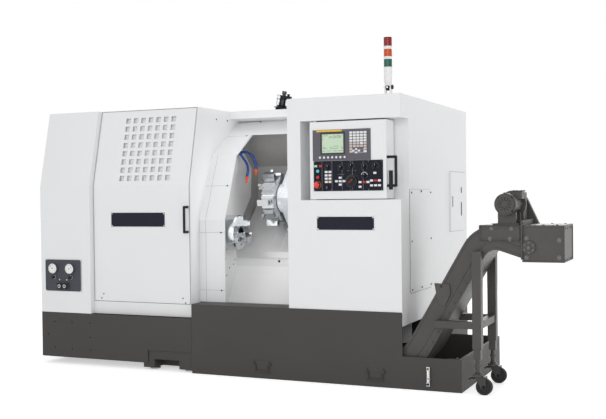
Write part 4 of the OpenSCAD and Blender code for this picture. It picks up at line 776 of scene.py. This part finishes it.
# Gauge plate: the gauges' middles and the angle of each hand
GAUGE_Z, REGULATOR_Z, SOCKET_Z = 705, 640, 576
GAUGE_HANDS = ((-2695, -48), (-2544, 62))


def gauge_faces():
    gauges = Piece("gauge_faces", "machine", CHROME, DIAL, DIALINK, BLACK, GLASS, SCREW)
    rim = [(35.2, -18), (36.5, -14), (36.5, 3), (34.5, 5.2), (31.5, 5.2), (31, 3.2)]
    for x, hand in GAUGE_HANDS:
        gauges.lathe((x, -24, GAUGE_Z), FRONT, rim, 0, 48)
        gauges.disc((x, -27, GAUGE_Z), FRONT, 30.8, 0.7, 1, 0.1, 40)
        for k in range(25):
            half = (0.5, 0.15, 1.6 if k % 4 else 3.0)
            gauges.mark((x, -27.9, GAUGE_Z), 26, math.radians(-135 + 270 * k / 24), half, 2, 0.05)
        gauges.mark((x, -28.5, GAUGE_Z), 9, math.radians(hand), (0.9, 0.3, 15), 2)
        gauges.disc((x, -28, GAUGE_Z), FRONT, 3, 1.6, 2, 0.4)
        gauges.disc((x, -3, REGULATOR_Z), FRONT, 14, 4, 0, 0.8)
        knob = [(11.5, 0), (12.3, 1), (12.3, 6), (11, 7), (0, 7)]
        gauges.lathe((x, -16, REGULATOR_Z), FRONT, knob, 3, 24, (2, 0.06))
    for x in (-2645, -2580):
        gauges.lathe((x, -3, 622), FRONT, [(5, 0), (5, 5), (3.5, 6.5), (0, 6.5)], 0, 20)
    gauges.box((-2658, -25, 556), (-2567, -21, 597), 3, 2)
    for x in (-2636, -2590):
        gauges.disc((x, -25, SOCKET_Z), FRONT, 12.5, 2.5, 0, 0.6)
        gauges.disc((x, -27.2, SOCKET_Z), FRONT, 8, 1.0, 2, 0.2)
    for x in (-2772, -2459):
        for z in (542, 766):
            gauges.screw((x, -3, z), FRONT, 4.5, 0)
    left, right, low, high, band = -2779, -2452, 535, 773, 3
    for x0, x1, z0, z1 in ((left, right, low, low + band), (left, right, high - band, high),
                           (left, left + band, low + band, high - band),
                           (right - band, right, low + band, high - band)):
        gauges.box((x0, -4.2, z0), (x1, -3, z1), 0, 0.3)
    gauges.done()


# Roof: the signal tower's axis and tiers, and the air unit's middle and its lean
ROOF = 1860
TOWER_X, TOWER_Y = -159, 240
TOWER_PIVOT = 1925
LENS_TIERS = ((2058, 2110, 1), (2126, 2176, 2), (2194, 2249, 3))
UNIT_X, UNIT_Y, UNIT_LEAN = -1151, 730, 11


def signal_tower():
    """Three lenses between white rings on a stem, with the ball joint that it folds at."""
    tower = Piece("signal_tower_lamps", "signal_tower", TOWERW, LGREEN, LAMBER, LRED, BLACK, CHROME, angle=40)

    def barrel(z0, z1, r, m, n=40, ribs=None, c=1.0):
        h = z1 - z0
        profile = [(0, 0), (r - c, 0), (r, c), (r, h - c), (r - c, h), (0, h)]
        tower.lathe((TOWER_X, TOWER_Y, z0), UP, profile, m, n, ribs)

    barrel(1936, 1947, 20, 0)
    barrel(1946, 1959, 24, 0)
    barrel(1957, 2056, 27.5, 0)
    for z0, z1, m in LENS_TIERS:
        barrel(z0, z1, 27, m, 72, (2, -0.025), 0.5)
        barrel(z0 + 4, z1 - 4, 18, 5, 24)
    for z0, z1 in ((2055, 2059), (2109, 2127), (2175, 2195)):
        barrel(z0, z1, 27.8, 0)
    barrel(2248, 2253, 27, 4)
    ball_r, steps = 21, 16
    ball = [(ball_r * math.sin(math.pi * k / steps), ball_r - ball_r * math.cos(math.pi * k / steps))
            for k in range(steps + 1)]
    tower.lathe((TOWER_X, TOWER_Y - ball_r, TOWER_PIVOT), BACK, ball, 4, 40)
    tower.lathe((TOWER_X, TOWER_Y - 23.5, TOWER_PIVOT), FRONT, [(7, -4), (7, 1), (5.5, 2), (0, 2)], 5, 6)
    tower.lathe((TOWER_X - 30, TOWER_Y, 1927), RIGHT, [(0, 0), (6, 0), (6, 62), (0, 62)], 5, 20)
    nut = [(0, 0), (13, 0), (14, 1), (14, 9), (13, 10), (0, 10)]
    tower.lathe((TOWER_X + 24, TOWER_Y, 1927), RIGHT, nut, 4, 24, (2, 0.05))
    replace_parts(tower.done(), "signal_tower")


def air_unit():
    """Filter, regulator and lubricator side by side on one plate, which leans with its bracket."""
    unit = Piece("air_unit", "machine", BLACK, CHROME, SIGHT, GLOSSBLACK, SCREW, DIAL, angle=40)
    unit.box((UNIT_X - 62, UNIT_Y - 34, ROOF), (UNIT_X + 62, UNIT_Y + 34, ROOF + 6), 0, 1.5)
    unit.box((UNIT_X - 56, UNIT_Y - 6, ROOF + 5), (UNIT_X + 56, UNIT_Y + 6, ROOF + 96), 0, 2)
    for x in (-36, 0, 36):
        unit.box((UNIT_X + x - 17, UNIT_Y - 24, ROOF + 61), (UNIT_X + x + 17, UNIT_Y - 5, ROOF + 96), 0, 3)
    bowl = [(0, 0), (4, 0), (5, 4), (11, 7), (14.5, 13), (15.5, 20), (15.5, 44), (16.5, 46), (16.5, 52),
            (0, 52)]
    for x, m in ((-36, 1), (0, 3), (36, 1)):
        unit.lathe((UNIT_X + x, UNIT_Y - 22, ROOF + 12), UP, bowl, m, 40)
    dial_knob = [(0, 0), (13, 0), (13, 8), (17, 10), (17.5, 12), (17.5, 30), (15, 34), (0, 35)]
    unit.lathe((UNIT_X, UNIT_Y - 16, ROOF + 95), UP, dial_knob, 3, 36, (3, -0.05))
    unit.disc((UNIT_X + 36, UNIT_Y - 16, ROOF + 95), UP, 10, 17, 0, 2)
    unit.disc((UNIT_X - 36, UNIT_Y - 24, ROOF + 80), FRONT, 13, 5, 1, 0.8)
    unit.disc((UNIT_X - 36, UNIT_Y - 28.5, ROOF + 80), FRONT, 11, 0.8, 5, 0.1)
    for x in (-52, 52):
        for y in (-26, 26):
            unit.screw((UNIT_X + x, UNIT_Y + y, ROOF + 6), UP, 4, 4)
    lean = Matrix.Rotation(math.radians(UNIT_LEAN), 3, Vector((0.2, 1, 0)).normalized())
    foot = P(UNIT_X + 62, UNIT_Y, ROOF)
    unit.points = [foot + lean @ (p - foot) for p in unit.points]
    wedge = [(UNIT_X - 58, ROOF + 24), (UNIT_X + 62, ROOF), (UNIT_X - 62, ROOF)]
    unit.prism_xz(wedge, UNIT_Y - 6, UNIT_Y + 6)
    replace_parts(unit.done(), "air_service_unit")


# Coolant hoses: their block in the chamber, and each route from it
HOSE_BLOCK = Vector((CHAMBER_LEFT, 550, 1545))
BEAD_STEP = 13.5
HOSE_ROUTES = (
    ((0, -9, 2), (22, -9, -2), (40, -6, -20), (60, 5, -52), (76, 14, -82), (88, 10, -116), (98, -14, -146),
     (115, -66, -190)),
    ((0, 24, 2), (22, 24, 2), (48, 48, 8), (76, 64, -8), (105, 67, -40), (124, 58, -72), (137, 42, -100),
     (146, 20, -130)),
)


def smooth_point(a, b, c, d, u):
    """The point at u between b and c on a smooth curve through all four."""
    return 0.5 * ((2 * b) + (c - a) * u + (2 * a - 5 * b + 4 * c - d) * u * u
                  + (3 * b - a - 3 * c + d) * u ** 3)


def smooth_path(points, step):
    """Even points along a smooth curve through points."""
    q = [points[0] * 2 - points[1]] + points + [points[-1] * 2 - points[-2]]
    fine = [smooth_point(*q[i - 1:i + 3], k / 20) for i in range(1, len(q) - 2) for k in range(20)]
    fine.append(points[-1])
    out, left = [fine[0]], step
    for start, end in zip(fine, fine[1:]):
        length = (end - start).length
        while length >= left:
            start = start + (end - start) * (left / length)
            length = (end - start).length
            out.append(start)
            left = step
        left -= length
    return out


def jointed_hoses():
    """Two hoses of ball segments with orange nozzles, on their block."""
    hoses = Piece("jointed_hoses", "machine", BLUE, ORANGE, SCREW, BLACK, angle=50)
    hoses.box(HOSE_BLOCK + Vector((0, -24, -14)), HOSE_BLOCK + Vector((24, 44, 14)), 0, 2)
    for y in (-18, 38):
        hoses.bolt(HOSE_BLOCK + Vector((24, y, 0)), RIGHT, 4, 2)
    nozzle = [(7, -1), (11, 1), (11.8, 4), (11.8, 12), (10, 15), (8.6, 17), (8.0, 30), (6.2, 43), (3.6, 43),
              (3.4, 30)]
    for route in HOSE_ROUTES:
        beads = smooth_path([HOSE_BLOCK + Vector(p) for p in route], BEAD_STEP)
        for start, end in zip(beads, beads[1:]):
            length = (end - start).length
            bead = [(5, -1), (7.5, 0), (10.6, 2.2), (11.2, 5), (10.2, 8.5), (7.2, 10.5), (6.5, length + 0.5)]
            hoses.lathe(start, end - start, bead, 0, 20)
        hoses.lathe(beads[-1], Vector((4, -8, -38)).normalized(), nozzle, 1, 24)
    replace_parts(hoses.done(), "coolant_hoses")


# Right side: the access cover's face and edges, and the side door's face and edges
ACCESS_FACE = (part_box("side_access_cover")[1].x - ORIGIN_X) * 1000
DOOR_FACE = 12.3
DOOR_Y = (1125, 1531)
DOOR_Z = (944, 1388)


def side_screws():
    side = Piece("side_screws", "machine", SCREW, SLOT)
    for y, z in ((194, 1235), (628, 1235), (411, 1243), (194, 920), (628, 920), (194, 605), (411, 605),
                 (628, 605)):
        side.screw((ACCESS_FACE - 1, y, z), RIGHT, 7)
    # Dark strips round the access cover's edges: painted shade in the gaps between the cover and the side.
    for y0, y1, z0, z1, proud in ((173.5, 175.5, 585, 1255, 1.5), (646.5, 647.7, 585, 1255, 1.2),
                                  (176, 646, 582.5, 584.5, 1.5), (176, 646, 1255.5, 1256.3, 1.0)):
        side.box((0, y0, z0), (proud, y1, z1), 1, 0.1)
    side.done()


def side_door_slots():
    """The side door's lock slots and the shadow lines round it."""
    slots = Piece("side_door_slots", "side_door", SLOT, SEAM, SCREW)
    for y, z0, z1, m in ((1433, 1228, 1273, 0), (1431, 1057, 1159, 0), (1182, 1126, 1205, 1)):
        slots.box((DOOR_FACE, y - 9, z0), (DOOR_FACE + 1.2, y + 9, z1), m, 0.5)
        slots.box((DOOR_FACE, y - 5, z0 + 4), (DOOR_FACE + 3.5, y + 5, z1 - 4), m, 1.2)
    (y0, y1), (z0, z1) = DOOR_Y, DOOR_Z
    for low, high in (((y0, z1 - 2.5), (y1, z1)), ((y0, z0), (y1, z0 + 2)), ((y0, z0), (y0 + 1.5, z1))):
        slots.box((DOOR_FACE, *low), (DOOR_FACE + 0.6, *high), 1, 0.1)
    slots.done()


def liner_plate():
    """The sheet that closes the gap between the chamber's left wall and the way cover."""
    plate = Piece("liner_plate", "machine", CHAMBER, SCREW)
    outline = [(640, 1135), (640, 1050), (735, 1000), (905, 1150), (905, 1195)]
    plate.prism_yz(outline, CHAMBER_LEFT - 9, CHAMBER_LEFT - 6.5)
    plate.done()


# Tank: the sight glass's line and the drop handles' middles
SIGHT_X = 171
HANDLE_X = (-984, -181)


def sight_glass():
    glass = Piece("sight_glass", "machine", CHROME, KEYW, SIGHT, RED, BLACK, BRONZE, DARK)
    for z, m in ((44, 4), (140, 5)):
        glass.box((SIGHT_X - 11, -27, z - 12), (SIGHT_X + 11, -4, z + 12), 0, 2)
        glass.lathe((SIGHT_X, -27, z), FRONT, [(9, -1), (9, 2.5), (7.5, 3.6), (0, 3.6)], m, 6)
    glass.box((SIGHT_X - 8, -26.5, 55), (SIGHT_X + 8, -9, 129), 1, 2)
    glass.lathe((SIGHT_X, -25, 54), UP, [(5.5, 0), (5.5, 76)], 2, 24)
    glass.lathe((SIGHT_X, -25, 74), UP, [(0, 0), (4.6, 0), (4.6, 10), (0, 10)], 3, 24)
    for k in range(7):
        z = 64 + 9 * k
        glass.box((SIGHT_X - 6.5, -26.9, z), (SIGHT_X - 3.5, -26.3, z + 0.8), 4 if k != 2 else 3, 0.1)
    glass.done()


def handle_plates():
    plates = Piece("handle_plates", "machine", DARK, SCREW)
    for x in HANDLE_X:
        plates.box((x - 62, -5.6, 34), (x + 62, -4, 122), 0, 1.2)
        plates.box((x - 40, -7.0, 58), (x + 40, -5, 92), 0, 1.0)
        for dx in (-54, 54):
            for z in (116, 40):
                plates.screw((x + dx, -5.6, z), FRONT, 4, 0)
    plates.done()


# Conveyor: its head's far end, underside and top, its head shaft, flange and motor
HEAD_END, HEAD_LOW, HEAD_TOP, HEAD_LEFT = 991, 809, 1031, 757
HEAD_FRONT, HEAD_BACK = 30, 370
SHAFT_X, SHAFT_Z = 787, 897.6
FLANGE_LEFT, FLANGE_RIGHT = 741, 751
MOTOR_X, MOTOR_Z = 655, 1158
INCLINE = 1.732


def head_rims():
    """The rims of the conveyor head: on both side faces and round the end face, as pairs of corners."""
    rims = []
    lip, end = HEAD_END - 12, HEAD_END + 4
    for y0, y1 in ((HEAD_FRONT - 5, HEAD_FRONT), (HEAD_BACK, HEAD_BACK + 5)):
        rims += [((HEAD_LEFT, y0, HEAD_TOP - 12), (HEAD_END, y1, HEAD_TOP)),
                 ((HEAD_LEFT, y0, HEAD_LOW), (HEAD_END, y1, HEAD_LOW + 10)),
                 ((lip, y0, HEAD_LOW + 10), (HEAD_END, y1, HEAD_TOP - 12))]
    rims += [((HEAD_END, HEAD_FRONT, HEAD_TOP - 10), (end, HEAD_BACK, HEAD_TOP)),
             ((HEAD_END, HEAD_FRONT, HEAD_LOW), (end, HEAD_BACK, HEAD_LOW + 10)),
             ((HEAD_END, HEAD_FRONT, HEAD_LOW + 10), (end, HEAD_FRONT + 10, HEAD_TOP - 10)),
             ((HEAD_END, HEAD_BACK - 10, HEAD_LOW + 10), (end, HEAD_BACK, HEAD_TOP - 10))]
    return rims


def conveyor_bolts():
    """Bolts, screws, rims and ribs of the conveyor's casing."""
    casing = Piece("conveyor_bolts", "machine", CONV, SCREW, CHROME, BOLT, angle=30)
    for x, z in ((566, 1012), (686, 1012), (556, 948), (676, 948)):
        casing.bolt((x, 18, z), FRONT, 11, 3)
    for x, z in ((772, 952), (966, 942), (966, 838), (772, 838)):
        casing.bolt((x, HEAD_FRONT, z), FRONT, 12, 3)
    for k in range(6):
        a = math.radians(30 + 60 * k)
        casing.bolt((SHAFT_X + 30 * math.cos(a), 18, SHAFT_Z + 30 * math.sin(a)), FRONT, 5, 3)
    for z in (850, 910, 970, 1045):
        for y in (20, 380):
            casing.bolt((FLANGE_RIGHT, y, z), RIGHT, 5, 0)
            casing.bolt((FLANGE_LEFT, y, z), LEFT, 5, 0)
    ribs = [((496, 13, 1013), (730, 18, 1023)), ((496, 13, 939), (730, 18, 947)),
            ((493, 13, 939), (501, 18, 1023))]
    for low, high in head_rims() + ribs:
        casing.box(low, high, 0, 0.8)
    for x in (790, 870, 950):
        for y in (48, 352):
            casing.screw((x, y, HEAD_TOP), UP, 7, 0)
    for y in (60, 130, 270, 340):
        for z in (822, 1010):
            casing.screw((HEAD_END + 4, y, z), RIGHT, 6, 0)
    for k in range(9):
        casing.screw((118 + 36 * k, 26, 175 + 36 * k * INCLINE), FRONT, 5, 0)
    casing.done()


def motor_details():
    """Rings and screws of the fan cover, the foot's bolts and the terminal box's lid."""
    motor = Piece("motor_details", "machine", CONV, SCREW, BLACK, CHROME, angle=30)
    for r in (20, 31, 42, 53):
        ring = [(r - 2, -1), (r - 2, 1.6), (r + 2, 1.6), (r + 2, -1)]
        motor.lathe((MOTOR_X, -24, MOTOR_Z), FRONT, ring, 0, 48)
    motor.lathe((MOTOR_X, -24, MOTOR_Z), FRONT, [(11, -1), (11, 2.5), (8, 4), (0, 4)], 0, 32)
    for k in range(4):
        a = math.radians(45 + 90 * k)
        motor.screw((MOTOR_X + 59 * math.cos(a), -14, MOTOR_Z + 59 * math.sin(a)), FRONT, 5, 1)
    for x in (MOTOR_X - 52, MOTOR_X + 42):
        for y in (70, 82, 200, 212):
            motor.bolt((x, y, 1041), UP, 6, 1)
    motor.box((MOTOR_X + 26, 84, MOTOR_Z + 74), (MOTOR_X + 86, 176, MOTOR_Z + 82), 0, 2)
    for dx, y in ((32, 92), (80, 92), (32, 168), (80, 168)):
        motor.screw((MOTOR_X + dx, y, MOTOR_Z + 82), UP, 4, 1)
    motor.done()


# Casters: the leg's line, the wheel's axle and the two wheels' middles
LEG_X, AXLE_X, AXLE_Z = 480, 518, 50
CASTER_Y = (-1.5, 401.5)


def casters():
    collar = [(20.3, 0), (31, 0), (33, 2), (33, 9), (30, 13), (20.3, 16)]
    for i, y in enumerate(CASTER_Y, 1):
        fork = Piece("caster_trim_%d" % i, "caster_%d" % i, CONV, SCREW, BLACK, ZINC)
        fork.lathe((LEG_X, y, 112), UP, collar, 0, 36)
        fork.bolt((AXLE_X, y - 23, AXLE_Z), FRONT, 8, 1)
        fork.bolt((AXLE_X, y + 23, AXLE_Z), BACK, 8, 1)
        fork.box((LEG_X - 49, y - 15, 96), (LEG_X - 16, y + 15, 101), 2, 1.5)
        fork.box((LEG_X - 55, y - 18, 90), (LEG_X - 43, y + 18, 98), 2, 1.5)
        fork.done()
        wheel = Piece("wheel_rim_%d" % i, "wheel_%d" % i, ZINC, SCREW, RUBBER)
        rim = [(17, -3), (17, 0.4), (20, 0.8), (33, -2.6), (35.5, 0.6), (36.5, -0.6)]
        for side, at in ((FRONT, y - 14.2), (BACK, y + 14.2)):
            wheel.lathe((AXLE_X, at, AXLE_Z), side, rim, 2, 40)
        wheel.done()


for make in (cover_screws, post_seams, front_plate, door_plate, panel_keys, display_face, handwheel_line,
             stop_button, knob_skirts, gauge_faces, signal_tower, air_unit, jointed_hoses, side_screws,
             side_door_slots, liner_plate, sight_glass, handle_plates, conveyor_bolts, motor_details,
             casters):
    make()

# Finish

bpy.context.view_layer.update()
